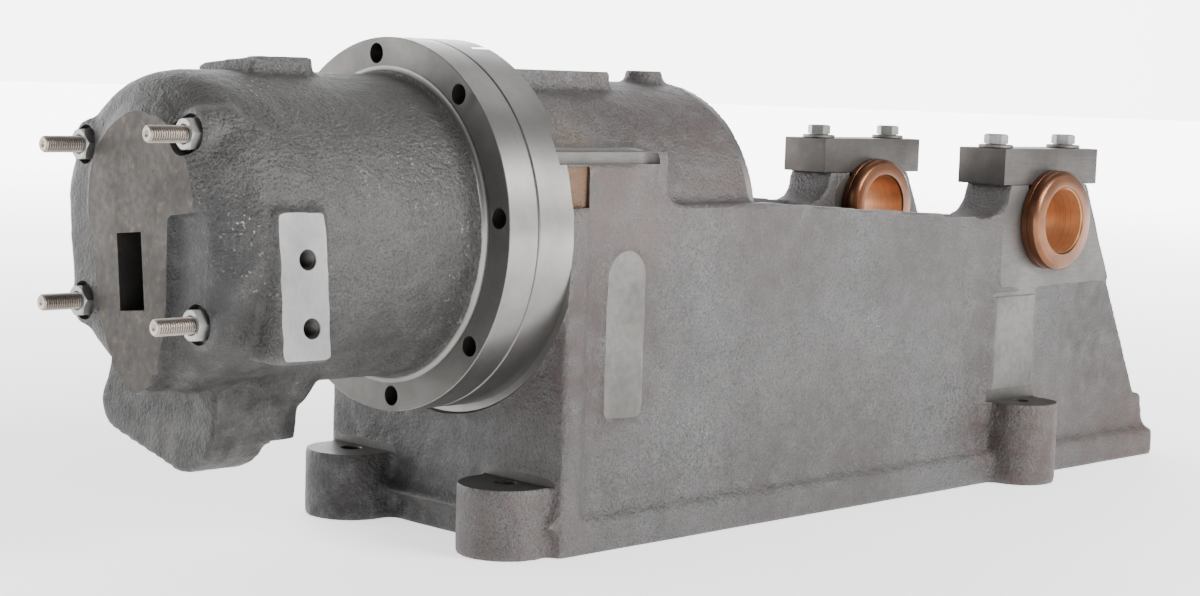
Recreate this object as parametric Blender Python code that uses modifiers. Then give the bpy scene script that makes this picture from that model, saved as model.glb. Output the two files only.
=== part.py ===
"""Horizontal crank-type machine frame: a capped two-bearing crank trough, a round crosshead
barrel, and a domed cylinder housing bolted on with four end adjusting screws.

Machine frame: X runs along the barrel axis from the dome (-X) to the crank end (+X), with
x = 0 at the front face of the housing flange. Y is across, Z is up from the floor.
Everything hangs from one empty that moves that frame to the middle of the part's own box.
"""
import math

import bmesh
import bpy
from mathutils import Matrix, Vector

OBJECT_NAME = "crank_machine_frame"

# --- Driving dimensions, metres ------------------------------------------------------------
GAP = 0.0003                 # clearance between touching pieces
AXIS_Z = 0.256               # height of the barrel axis above the floor
HOUSING_TILT = math.radians(-6)   # the housing sits turned on its bolt circle

FLANGE_R = 0.150             # both barrel flanges
FLANGE_PCD_R = 0.1375
FLANGE_BOLTS = 8
FLANGE_HOLE_R = 0.008
TAPPED_R = 0.0068
DOWEL_R = 0.0040
DOWEL_ANGLES = (math.radians(22.5), math.radians(202.5))
HOUSING_FLANGE_T = 0.0301
GASKET_X = (0.0304, 0.0310)
FRAME_FLANGE_X = (0.0313, 0.0690)

DOME_END_X = -0.238          # machined end face of the housing
DOME_CAST_X = -0.231         # cast surface beside the rib
BARREL_R = 0.1195            # housing barrel
DOME_ROUND = (0.0325, 0.0360)     # how far the dome's rim rounds in, and along the axis
DOME_FLAT_REACH = 0.3215     # the dome's sides are flattened along the planes |y| - x = this
END_DISC = (-0.014, 0.020)   # middle of the round upper part of the end face
END_DISC_R = 0.065
END_DISC_LOW = 0.011         # it is round above this height over the axis
END_PLUG_X = -0.215          # solids of the end face reach this far into the dome wall
HOUSING_BORE_R = 0.1050
INNER_END_X = -0.210         # inside of the closed end
INNER_END_R = 0.096
SPIGOT_R = 0.1120
SPIGOT_X = 0.0380

SLOT_W = 0.0315
SLOT_H = 0.057
SIDE_PAD = ((-0.1965, -0.1545), (-0.125, -0.080), (-0.0965, 0.0085))
PAD_HOLES = ((-0.170, -0.025), (-0.168, -0.074))   # x and z of the tapped holes
PAD_HOLE_DEPTH = 0.019
TOP_PAD = ((-0.147, -0.089), (-0.035, 0.035), (0.100, 0.1285))
LOBE_X = (-0.190, -0.140)
LOBE_ROUND = 0.018
BOSS_X = -0.135
BOSS_FACE_Z = -0.160
BOSS_R = (0.030, 0.036)
DRAIN_R = 0.010
SCREWS = {"upper_near": (-0.072, 0.067), "upper_far": (0.065, 0.068),
          "lower_near": (-0.070, -0.068), "lower_far": (0.078, -0.049)}    # (y, z)
SCREW_R = 0.00635            # half-inch screws
SCREW_TIP_X = -0.2665
SCREW_END_CHAMFER = 0.001
SCREW_CENTRE_R = 0.003
SEAT_X = -0.224
SEAT_R = 0.0155
NUT_AF = 0.0222
NUT_T = 0.0118

PLATE_X = (-0.1900, -0.1740)
PLATE_WINDOW = ((-0.0185, 0.0185), (-0.060, 0.003))
LINER_X = (-0.1600, 0.0360)
LINER_BORE_R = 0.0850
LINER_RELIEF_R = 0.1000
LINER_LANDS = (0.030, 0.050)      # lengths of the fitting lands, dome end and flange end
LINER_TAPER = 0.005

FRAME_BARREL_R = 0.120
FRAME_BARREL_END = 0.316
GUIDE_BORE_R = 0.0950
CROSSHEAD_X = (0.130, 0.250)
CROSSHEAD_PLAY = 0.0012
BAND_GROOVE = 0.004
BAND_INSET = (0.010, 0.026)       # both edges of each band, from its end of the crosshead
ROD_POCKET = (0.030, 0.026, 0.060)     # start from the front, half width, half height
WRIST_PIN_R = 0.0200
WRIST_PIN_HALF = 0.075

END_WALL_X = (0.0665, 0.0880)
WALL_Y = 0.1370
WALL_T = 0.0140
BASE_Y = 0.1470
BASE_T = 0.0280
FLOOR_Z = 0.0180
SHOULDER_Z = 0.2770
DECK_END_X = 0.326           # the trough is open to the top behind this
FACING_X = END_WALL_X[0] + 0.0015    # ring turned into the end wall beside the flange
FACING_R = FLANGE_R + 0.006
LUG = (0.182, (0.100, 0.125), 0.320)     # end on x, |y|, top
LEDGE = (0.168, (0.1245, 0.1390), 0.311)
SIDE_PAD_MIDDLE_X = 0.1395
SIDE_PAD_HALF_W = 0.0205
SIDE_PAD_Z = (0.107, 0.241)
SIDE_PAD_DEPTH = 0.1392
BOLT_FACING = ((0.650, 0.716), (0.130, 0.1386), (0.060, 0.180))
TOP_RAIL = ((0.060, 0.212), (-0.040, 0.040), (0.340, 0.3840))
TOP_BOSS = (0.2935, 0.0165, 0.3860)      # x, radius, top
TAPPED_END_X = 0.060
DOWEL_HOLE_X = (0.010, 0.0505)
FRAME_END_X = 0.9420

BEARING_X = 0.735
BEARING_Z = 0.2535
PEDESTAL_Y = (0.0845, 0.1393)
PEDESTAL_TOP = 0.2880
CAP_X = (0.655, 0.815)
CAP_T = 0.0350
CAP_BOLT_PITCH = 0.1164
CAP_BOLT_R = 0.0080          # 5/8-inch bolts
CAP_BOLT_AF = 0.0238
CAP_BOLT_HEAD = 0.0100
CAP_BOLT_END_Z = 0.2372
CAP_HOLE_END_Z = 0.2350
WASHER_R = 0.0168
WASHER_T = 0.0030
BUSH_BODY_R = 0.0380
BUSH_BORE_R = 0.0315
BUSH_FLANGE_R = 0.0490
BUSH_FLANGE_T = 0.0175
BUSH_CHAMFER = 0.0040
BUSH_DOWEL_R = 0.0040

FRONT_FOOT = (0.051, 0.098)
FRONT_FOOT_R = 0.0390
FRONT_FOOT_H = 0.0560
REAR_FOOT = (0.685, 0.150)
REAR_FOOT_R = 0.0370
REAR_FOOT_H = 0.0780
FOOT_HOLE_R = 0.0085

X_ORIGIN = -(SCREW_TIP_X + FRAME_END_X) / 2

COLOURS = {
    "cast_iron": ((0.16, 0.15, 0.145), 0.0, 0.72),
    "bronze": ((0.62, 0.33, 0.18), 1.0, 0.30),
    "plain_steel": ((0.45, 0.45, 0.46), 1.0, 0.35),
    "bright_steel": ((0.60, 0.58, 0.55), 1.0, 0.28),
    "gasket_paper": ((0.20, 0.19, 0.17), 0.0, 0.85),
}


# --- Scene set-up --------------------------------------------------------------------------
def clear_scene():
    for obj in list(bpy.data.objects):
        bpy.data.objects.remove(obj, do_unlink=True)


def new_collection(name):
    collection = bpy.data.collections.new(name)
    bpy.context.scene.collection.children.link(collection)
    return collection


def new_material(name):
    colour, metallic, roughness = COLOURS[name]
    material = bpy.data.materials.new(name)
    material.use_nodes = True
    shader = material.node_tree.nodes["Principled BSDF"]
    shader.inputs["Base Color"].default_value = (*colour, 1.0)
    shader.inputs["Metallic"].default_value = metallic
    shader.inputs["Roughness"].default_value = roughness
    material.diffuse_color = (*colour, 1.0)
    return material


clear_scene()
PARTS = new_collection(OBJECT_NAME)
CUTTERS = new_collection("cutters")
MATERIALS = {name: new_material(name) for name in COLOURS}


def new_empty(name, location=(0, 0, 0), rotation=(0, 0, 0), parent=None):
    empty = bpy.data.objects.new(name, None)
    empty.location = location
    empty.rotation_euler = rotation
    empty.parent = parent
    PARTS.objects.link(empty)
    return empty


MACHINE = new_empty("machine_frame", (X_ORIGIN, 0, 0))
HOUSING_AXIS = new_empty("housing_axis", (0, 0, AXIS_Z), (HOUSING_TILT, 0, 0), MACHINE)


def smooth(mesh, angle=math.radians(35)):
    mesh.shade_smooth()
    mesh.set_sharp_from_angle(angle=angle)


# --- Solids --------------------------------------------------------------------------------
def place(mesh, name, parent, material=None, location=(0, 0, 0), rotation=(0, 0, 0)):
    """A named object in the parts collection, or a cutter when it has no material."""
    obj = bpy.data.objects.new(name, mesh)
    obj.location = location
    obj.rotation_euler = rotation
    obj.parent = parent
    if material is None:
        obj.hide_render = True
        obj.display_type = "WIRE"
        CUTTERS.objects.link(obj)
    else:
        mesh.materials.clear()
        mesh.materials.append(MATERIALS[material])
        smooth(mesh)
        PARTS.objects.link(obj)
    return obj


def mesh_of(name, bm):
    mesh = bpy.data.meshes.new(name)
    bmesh.ops.recalc_face_normals(bm, faces=bm.faces)
    bm.to_mesh(mesh)
    bm.free()
    return mesh


def box(name, x, y, z, parent=MACHINE, material=None):
    """Box from its low and high x, y and z."""
    size = Vector((x[1] - x[0], y[1] - y[0], z[1] - z[0]))
    centre = Vector((x[0] + x[1], y[0] + y[1], z[0] + z[1])) / 2
    bm = bmesh.new()
    bmesh.ops.create_cube(bm, size=1.0)
    bmesh.ops.scale(bm, vec=size, verts=bm.verts)
    return place(mesh_of(name, bm), name, parent, material, centre)


AXIS_ROTATION = {
    "X": (0, math.pi / 2, 0),
    "Y": (-math.pi / 2, 0, 0),
    "Z": (0, 0, 0),
}


def rod(name, axis, start, end, radius, centre=(0, 0), end_radius=None, parent=MACHINE,
        material=None, segments=32):
    """Cylinder or cone along X, Y or Z; centre is its place on the two other axes."""
    bm = bmesh.new()
    bmesh.ops.create_cone(bm, cap_ends=True, segments=segments, radius1=radius,
                          radius2=radius if end_radius is None else end_radius,
                          depth=end - start)
    middle = (start + end) / 2
    location = {
        "X": (middle, centre[0], centre[1]),
        "Y": (centre[0], middle, centre[1]),
        "Z": (centre[0], centre[1], middle),
    }[axis]
    return place(mesh_of(name, bm), name, parent, material, location, AXIS_ROTATION[axis])


def hexagon(name, axis, start, end, across_flats, centre, parent=MACHINE, material=None):
    return rod(name, axis, start, end, across_flats / math.sqrt(3), centre, None, parent,
               material, segments=6)


def turned(name, profile, axis, parent=MACHINE, material=None, location=(0, 0, 0), steps=64,
           closed=False):
    """Turned solid. The profile is (radius, station) points whose outer side runs from the
    high station to the low one; closed joins the last point to the first, for a ring."""
    mesh = bpy.data.meshes.new(name)
    count = len(profile)
    edges = [(i, i + 1) for i in range(count - 1)]
    if closed:
        edges.append((count - 1, 0))
    mesh.from_pydata([(radius, 0, station) for radius, station in profile], edges, [])
    obj = place(mesh, name, parent, material, location, AXIS_ROTATION[axis])
    screw = obj.modifiers.new("turn", "SCREW")
    screw.steps = steps
    screw.render_steps = steps
    screw.use_merge_vertices = True
    screw.merge_threshold = 0.00005
    screw.use_smooth_shade = True
    return obj


def slab(name, outline, across, parent=MACHINE, plane="XZ"):
    """Extruded outline as a cutter or a joining solid. In plane XZ the outline is (x, z) and
    across is its low and high y; in plane YZ it is (y, z) and across is low and high x."""
    curve = bpy.data.curves.new(name, "CURVE")
    curve.dimensions = "2D"
    curve.fill_mode = "BOTH"
    curve.extrude = (across[1] - across[0]) / 2
    spline = curve.splines.new("POLY")
    spline.points.add(len(outline) - 1)
    for point, (u, v) in zip(spline.points, outline):
        point.co = (u, v, 0, 1)
    spline.use_cyclic_u = True
    middle = (across[0] + across[1]) / 2
    if plane == "XZ":
        turn = Matrix(((1, 0, 0), (0, 0, -1), (0, 1, 0))).to_4x4()
        shift = Matrix.Translation((0, middle, 0))
    else:
        turn = Matrix(((0, 0, 1), (1, 0, 0), (0, 1, 0))).to_4x4()
        shift = Matrix.Translation((middle, 0, 0))
    flat = bpy.data.objects.new(name + "_outline", curve)
    CUTTERS.objects.link(flat)
    bpy.context.view_layer.update()
    evaluated = flat.evaluated_get(bpy.context.evaluated_depsgraph_get())
    mesh = bpy.data.meshes.new_from_object(evaluated)
    bpy.data.objects.remove(flat)
    bm = bmesh.new()
    bm.from_mesh(mesh)
    bmesh.ops.remove_doubles(bm, verts=bm.verts, dist=0.00001)
    bmesh.ops.transform(bm, matrix=shift @ turn, verts=bm.verts)
    bpy.data.meshes.remove(mesh)
    return place(mesh_of(name, bm), name, parent)


def arc(centre, radius, start, end, count=8):
    """Points on an arc, angles in degrees, both ends included."""
    angles = [math.radians(start + (end - start) * i / (count - 1)) for i in range(count)]
    return [(centre[0] + radius * math.cos(a), centre[1] + radius * math.sin(a))
            for a in angles]


def boolean(obj, other, operation):
    modifier = obj.modifiers.new(other.name, "BOOLEAN")
    modifier.operation = operation
    modifier.object = other
    modifier.solver = "EXACT"


def cut(obj, *cutters):
    for cutter in cutters:
        boolean(obj, cutter, "DIFFERENCE")


def join(obj, *others):
    for other in others:
        boolean(obj, other, "UNION")


def soften(obj, width, segments=2, angle=math.radians(40)):
    bevel = obj.modifiers.new("edges", "BEVEL")
    bevel.width = width
    bevel.segments = segments
    bevel.limit_method = "ANGLE"
    bevel.angle_limit = angle


def bolt_circle():
    """Angles of the flange bolts about the barrel axis, in the housing's own frame."""
    return [2 * math.pi * i / FLANGE_BOLTS for i in range(FLANGE_BOLTS)]


def on_housing(angle):
    """Point of the bolt circle as (y, z) in the housing's own frame."""
    return (-FLANGE_PCD_R * math.sin(angle), FLANGE_PCD_R * math.cos(angle))


def on_frame(angle):
    """The same point as (y, z) in the machine frame."""
    y, z = on_housing(angle + HOUSING_TILT)
    return (y, AXIS_Z + z)


def both_sides(side, low, high):
    """Range on y for the near (-1) or the far (1) side, from distances off the middle."""
    return tuple(sorted((side * low, side * high)))


# --- Crank frame casting -------------------------------------------------------------------
def pedestal_fillet():
    """Hollow round where the front of a pedestal runs out into the shoulder."""
    radius = 0.030
    return arc((0.666 - radius, PEDESTAL_TOP), radius, 0, -90, 6)


def frame_side_outline():
    """Side view of the trough walls: foot, sloping rear edge, shoulder and pedestal line."""
    foot = [(END_WALL_X[0], 0.0), (FRAME_END_X, 0.0), (FRAME_END_X, 0.023), (0.936, 0.029),
            (0.928, 0.0645), (0.9135, 0.0676)]
    top = [(0.799, PEDESTAL_TOP), (0.666, PEDESTAL_TOP)] + pedestal_fillet()[1:]
    shoulder = [(0.576, 0.262), (0.450, 0.269), (FRAME_BARREL_END, SHOULDER_Z),
                (END_WALL_X[0], SHOULDER_Z)]
    return foot + top + shoulder


def trough_outline():
    """Side view of the hollow: under the barrel deck, then open to the top and, above a low
    sloping rear wall, to the crank end."""
    return [(END_WALL_X[1], FLOOR_Z), (0.912, FLOOR_Z), (0.899, 0.0676), (0.840, 0.186),
            (0.900, 0.192), (0.900, 0.300), (DECK_END_X, 0.300),
            (DECK_END_X, 0.262), (END_WALL_X[1], 0.262)]


def pedestal_outline():
    """Bearing pedestal between the floor and the cap joint."""
    return [(0.648, 0.010), (0.880, 0.010), (0.880, 0.130), (0.799, PEDESTAL_TOP),
            (0.666, PEDESTAL_TOP)] + pedestal_fillet()[1:] + [(0.636, 0.200)]


def bush_pad_outline():
    """Machined facing around the bush on the outside of each wall."""
    return [(0.672, 0.190), (0.848, 0.190), (0.799, PEDESTAL_TOP), (0.666, PEDESTAL_TOP),
            (0.663, 0.270), (0.657, 0.258), (0.657, 0.200)]


def side_pad_outline():
    """Round-topped facing low on the wall behind the flange."""
    middle, half = SIDE_PAD_MIDDLE_X, SIDE_PAD_HALF_W
    low, high = SIDE_PAD_Z
    return [(middle - half, low), (middle + half, low)] + arc(
        (middle, high - half), half, 0, 180, 9)


def pad_pair(name, outline, depth):
    """The same facing on both walls: outline in XZ, from the wall out to depth."""
    inner = WALL_Y - 0.006
    return [slab(f"{name}_near", outline, (-depth, -inner)),
            slab(f"{name}_far", outline, (inner, depth))]


def build_base_frame():
    # The end wall, as wide as the foot, carries the barrel and the front feet.
    frame = box("base_frame", END_WALL_X, (-BASE_Y, BASE_Y), (0, SHOULDER_Z), MACHINE,
                "cast_iron")
    cut(frame, rod("end_wall_facing", "X", 0.05, FACING_X, FACING_R, (0, AXIS_Z),
                   segments=56))

    walls = slab("frame_walls", frame_side_outline(), (-WALL_Y, WALL_Y))
    hollow = slab("frame_hollow", trough_outline(), (-WALL_Y + WALL_T, WALL_Y - WALL_T))
    cut(walls, hollow)
    cut(walls, rod("wall_facing", "X", 0.05, FACING_X, FACING_R, (0, AXIS_Z), segments=56))
    join(frame, walls)
    foot_plate = box("foot_plate", (END_WALL_X[0], FRAME_END_X), (-BASE_Y, BASE_Y),
                     (0, BASE_T))
    well = box("foot_plate_well", (END_WALL_X[1], 0.905), (-WALL_Y + WALL_T, WALL_Y - WALL_T),
               (FLOOR_Z, 0.1))
    cut(foot_plate, well)
    join(frame, foot_plate)

    for side in (-1, 1):
        tag = "near" if side < 0 else "far"
        join(frame, slab(f"pedestal_{tag}", pedestal_outline(),
                         both_sides(side, PEDESTAL_Y[0], WALL_Y - 0.004)))
        for name, (end, reach, top) in (("lug", LUG), ("ledge", LEDGE)):
            join(frame, box(f"clamp_{name}_{tag}", (END_WALL_X[1] - 0.012, end),
                            both_sides(side, *reach), (0.262, top)))
        foot_y = side * FRONT_FOOT[1]
        join(frame, rod(f"front_foot_{tag}", "Z", 0, FRONT_FOOT_H, FRONT_FOOT_R,
                        (FRONT_FOOT[0], foot_y), segments=40))
        join(frame, rod(f"rear_foot_{tag}", "Z", 0, REAR_FOOT_H, REAR_FOOT_R,
                        (REAR_FOOT[0], side * REAR_FOOT[1]), segments=40))
        along, reach, up = BOLT_FACING
        join(frame, box(f"bolt_facing_{tag}", along, both_sides(side, *reach), up))

    pads = pad_pair("bush_pad", bush_pad_outline(), PEDESTAL_Y[1])
    pads += pad_pair("side_pad", side_pad_outline(), SIDE_PAD_DEPTH)
    join(frame, *pads)

    join(frame, rod("frame_flange", "X", *FRAME_FLANGE_X, FLANGE_R, (0, AXIS_Z), segments=56))
    join(frame, rod("frame_barrel", "X", 0.060, FRAME_BARREL_END, FRAME_BARREL_R,
                    (0, AXIS_Z), segments=56))
    boss_x, boss_r, boss_top = TOP_BOSS
    join(frame, box("top_rail", *TOP_RAIL),
         rod("top_boss", "Z", TOP_RAIL[2][0], boss_top, boss_r, (boss_x, 0), segments=24))

    cut(frame, rod("guide_bore", "X", 0.02, FRAME_BARREL_END + 0.05, GUIDE_BORE_R,
                   (0, AXIS_Z), segments=48))
    cut(frame, rod("spigot_recess", "X", 0.02, SPIGOT_X + 0.001, SPIGOT_R + GAP,
                   (0, AXIS_Z), segments=48))
    for angle in bolt_circle():
        cut(frame, rod("tapped_hole", "X", 0.02, TAPPED_END_X, TAPPED_R, on_frame(angle),
                       segments=12))
    for angle in DOWEL_ANGLES:
        cut(frame, rod("dowel_hole_frame", "X", 0.02, DOWEL_HOLE_X[1], DOWEL_R + GAP,
                       on_frame(angle), segments=12))

    cut(frame, rod("bush_bore", "Y", -0.2, 0.2, BUSH_BODY_R + GAP, (BEARING_X, BEARING_Z),
                   segments=48))
    slot_half = BUSH_BODY_R + GAP
    cut(frame, box("bush_slot", (BEARING_X - slot_half, BEARING_X + slot_half), (-0.2, 0.2),
                   (BEARING_Z, 0.33)))
    for side in (-1, 1):
        for offset in (-CAP_BOLT_PITCH / 2, CAP_BOLT_PITCH / 2):
            place_xy = (BEARING_X + offset, side * sum(PEDESTAL_Y) / 2)
            cut(frame, rod("cap_bolt_hole", "Z", CAP_HOLE_END_Z, 0.31, CAP_BOLT_R + GAP,
                           place_xy, segments=16))
        for foot in (FRONT_FOOT, REAR_FOOT):
            cut(frame, rod("foot_hole", "Z", -0.01, 0.1, FOOT_HOLE_R,
                           (foot[0], side * foot[1]), segments=24))
    return frame


# --- Housing casting -----------------------------------------------------------------------
def housing_profile():
    """Outside of the housing from the spigot over the flange to the dome."""
    inward, along = DOME_ROUND
    dome = [(BARREL_R - inward * (1 - math.sin(a)), DOME_CAST_X + along * (1 - math.cos(a)))
            for a in [math.pi / 2 * (1 - i / 6) for i in range(7)]]
    flange = [(0.0, SPIGOT_X), (SPIGOT_R, SPIGOT_X), (SPIGOT_R, HOUSING_FLANGE_T),
              (FLANGE_R, HOUSING_FLANGE_T), (FLANGE_R, 0.0), (0.1265, 0.0),
              (0.1225, -0.0020), (0.1202, -0.0055)]
    return flange + dome + [(0.0, DOME_CAST_X)]


def rib_outline():
    """Machined end rib below the axis, tapering to a round tip; (y, z) from the axis."""
    right = [(-0.050, 0.020), (-0.050, 0.0), (-0.045, -0.050), (-0.038, -0.077),
             (-0.027, -0.102)]
    tip = arc((0, -0.094), 0.024, 205, 335, 7)
    return right + tip + [(-y, z) for y, z in reversed(right)]


def lobe_outline():
    """Low swelling behind the rib: two rounds and their tangent; (y, z) from the axis."""
    near = arc((0.000, -0.137), 0.045, 180, 284, 10)
    far = arc((0.089, -0.140), 0.022, 284, 410, 7)
    return near + far + [(0.085, -0.060), (-0.045, -0.060)]


def flatten_dome(housing, side):
    """Cuts the flat on one side of the dome, a plane at 45 degrees to the axis."""
    reach = 0.1
    middle = DOME_FLAT_REACH / math.sqrt(2) + reach / 2
    bm = bmesh.new()
    bmesh.ops.create_cube(bm, size=1.0)
    bmesh.ops.scale(bm, vec=(reach, 3 * reach, 3 * reach), verts=bm.verts)
    bmesh.ops.translate(bm, vec=(-middle, 0, 0), verts=bm.verts)
    cut(housing, place(mesh_of("dome_flat", bm), "dome_flat", HOUSING_AXIS,
                       rotation=(0, 0, -side * math.pi / 4)))


def build_housing():
    local = {"parent": HOUSING_AXIS}
    housing = turned("cylinder_housing", housing_profile(), "X", HOUSING_AXIS, "cast_iron",
                     steps=56)
    for side in (-1, 1):
        flatten_dome(housing, side)
    end_face = (DOME_END_X, END_PLUG_X)
    upper_face = rod("end_face_disc", "X", *end_face, END_DISC_R, END_DISC, segments=56,
                     **local)
    cut(upper_face, box("end_face_trim", (-0.3, -0.1), (-0.2, 0.2), (-0.2, END_DISC_LOW),
                        **local))
    join(housing, upper_face)
    join(housing, slab("end_rib", rib_outline(), end_face, plane="YZ", **local))
    lobe = slab("low_swelling", lobe_outline(), LOBE_X, MACHINE, "YZ")
    lobe.location.z = AXIS_Z
    soften(lobe, LOBE_ROUND, 3)
    join(housing, lobe)
    join(housing, box("side_pad_block", *SIDE_PAD, **local))
    join(housing, box("top_pad", *TOP_PAD, **local))
    join(housing, rod("drain_boss", "Z", BOSS_FACE_Z, -0.100, BOSS_R[0], (BOSS_X, 0),
                      BOSS_R[1], segments=32, **local))

    bore = turned("housing_bore", [(0.0, 0.06), (HOUSING_BORE_R, 0.06),
                                   (HOUSING_BORE_R, INNER_END_X + 0.010),
                                   (INNER_END_R, INNER_END_X), (0.0, INNER_END_X)],
                  "X", HOUSING_AXIS, steps=48)
    cut(housing, bore)
    cut(housing, box("end_slot", (-0.26, -0.19), (-SLOT_W / 2, SLOT_W / 2), (-SLOT_H, 0),
                     **local))
    cut(housing, rod("drain_hole", "Z", -0.17, -0.135, DRAIN_R, (BOSS_X, 0), segments=16,
                     **local))
    for y, z in SCREWS.values():
        cut(housing, rod("screw_seat", "X", -0.26, SEAT_X, SEAT_R, (y, z), segments=24,
                         **local))
        cut(housing, rod("screw_hole", "X", -0.26, -0.19, SCREW_R + GAP, (y, z),
                         segments=20, **local))
    for angle in bolt_circle():
        cut(housing, rod("flange_hole", "X", -0.02, 0.05, FLANGE_HOLE_R, on_housing(angle),
                         segments=14, **local))
    for angle in DOWEL_ANGLES:
        cut(housing, rod("dowel_hole_housing", "X", DOWEL_HOLE_X[0], 0.05, DOWEL_R + GAP,
                         on_housing(angle), segments=12, **local))
    pad_hole_end = SIDE_PAD[1][0] + PAD_HOLE_DEPTH
    for spot in PAD_HOLES:
        cut(housing, rod("pad_tapped_hole", "Y", -0.14, pad_hole_end, TAPPED_R, spot,
                         segments=12, **local))
    return housing


def build_gasket():
    gasket = turned("flange_gasket", [(0.1492, GASKET_X[1]), (0.1492, GASKET_X[0]),
                                      (SPIGOT_R + 0.001, GASKET_X[0]),
                                      (SPIGOT_R + 0.001, GASKET_X[1])],
                    "X", HOUSING_AXIS, "gasket_paper", steps=72, closed=True)
    for angles, radius in ((bolt_circle(), FLANGE_HOLE_R), (DOWEL_ANGLES, DOWEL_R + GAP)):
        for angle in angles:
            cut(gasket, rod("gasket_hole", "X", 0.02, 0.05, radius, on_housing(angle),
                            segments=16, parent=HOUSING_AXIS))


def build_flange_dowels():
    low, high = DOWEL_HOLE_X
    for name, angle in zip(("upper", "lower"), DOWEL_ANGLES):
        rod(f"flange_dowel_{name}", "X", low + 0.0005, high - 0.0005, DOWEL_R,
            on_housing(angle), parent=HOUSING_AXIS, material="bright_steel", segments=12)


# --- Adjusting screws, nuts and the plate they push ----------------------------------------
def build_adjusting_set():
    for name, (y, z) in SCREWS.items():
        chamfer, recess = SCREW_END_CHAMFER, SCREW_CENTRE_R
        tail = PLATE_X[0] - GAP
        profile = [(0.0, tail), (SCREW_R - chamfer, tail), (SCREW_R, tail - chamfer),
                   (SCREW_R, SCREW_TIP_X + chamfer), (SCREW_R - chamfer, SCREW_TIP_X),
                   (recess, SCREW_TIP_X), (0.0, SCREW_TIP_X + recess)]
        turned(f"adjusting_screw_{name}", profile, "X", HOUSING_AXIS, "bright_steel",
               (0, y, z), steps=12)
        nut = hexagon(f"jam_nut_{name}", "X", SEAT_X - GAP - NUT_T, SEAT_X - GAP, NUT_AF,
                      (y, z), HOUSING_AXIS, "bright_steel")
        cut(nut, rod("nut_bore", "X", -0.26, -0.2, SCREW_R + GAP, (y, z),
                     parent=HOUSING_AXIS, segments=20))

    plate = rod("thrust_plate", "X", *PLATE_X, HOUSING_BORE_R - GAP, (0, 0),
                parent=HOUSING_AXIS, material="plain_steel", segments=48)
    cut(plate, box("plate_window", (-0.2, -0.15), *PLATE_WINDOW, parent=HOUSING_AXIS))


def build_liner():
    fit = HOUSING_BORE_R - GAP
    start, end = LINER_X
    first, last = start + LINER_LANDS[0], end - LINER_LANDS[1]
    profile = [(fit, end), (fit, last), (LINER_RELIEF_R, last - LINER_TAPER),
               (LINER_RELIEF_R, first + LINER_TAPER), (fit, first), (fit, start),
               (LINER_BORE_R, start), (LINER_BORE_R, end)]
    turned("cylinder_liner", profile, "X", HOUSING_AXIS, "plain_steel", steps=40, closed=True)


# --- Crosshead in the barrel ---------------------------------------------------------------
def build_crosshead():
    outside = GUIDE_BORE_R - CROSSHEAD_PLAY
    groove = outside - BAND_GROOVE
    low, high = CROSSHEAD_X
    near_edge, far_edge = BAND_INSET
    bands = [(low + near_edge, low + far_edge), (high - far_edge, high - near_edge)]
    profile = [(0.0, high), (outside, high), (outside, bands[1][1]), (groove, bands[1][1]),
               (groove, bands[1][0]), (outside, bands[1][0]), (outside, bands[0][1]),
               (groove, bands[0][1]), (groove, bands[0][0]), (outside, bands[0][0]),
               (outside, low), (0.0, low)]
    centre = (0, 0, AXIS_Z)
    crosshead = turned("crosshead", profile, "X", MACHINE, "cast_iron", centre, steps=36)
    middle = (low + high) / 2
    # Fork for the rod's small end, open towards the crank.
    start, half_w, half_h = ROD_POCKET
    cut(crosshead, box("rod_pocket", (low + start, high + 0.05), (-half_w, half_w),
                       (AXIS_Z - half_h, AXIS_Z + half_h)))
    cut(crosshead, rod("pin_hole", "Y", -0.12, 0.12, WRIST_PIN_R + GAP, (middle, AXIS_Z),
                       segments=32))
    rod("wrist_pin", "Y", -WRIST_PIN_HALF, WRIST_PIN_HALF, WRIST_PIN_R, (middle, AXIS_Z),
        material="bright_steel", segments=32)
    for name, (start, end) in zip(("front", "rear"), bands):
        ring = [(GUIDE_BORE_R - GAP, end - GAP), (GUIDE_BORE_R - GAP, start + GAP),
                (groove + GAP, start + GAP), (groove + GAP, end - GAP)]
        turned(f"crosshead_band_{name}", ring, "X", MACHINE, "bronze", centre, steps=36,
               closed=True)


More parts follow.
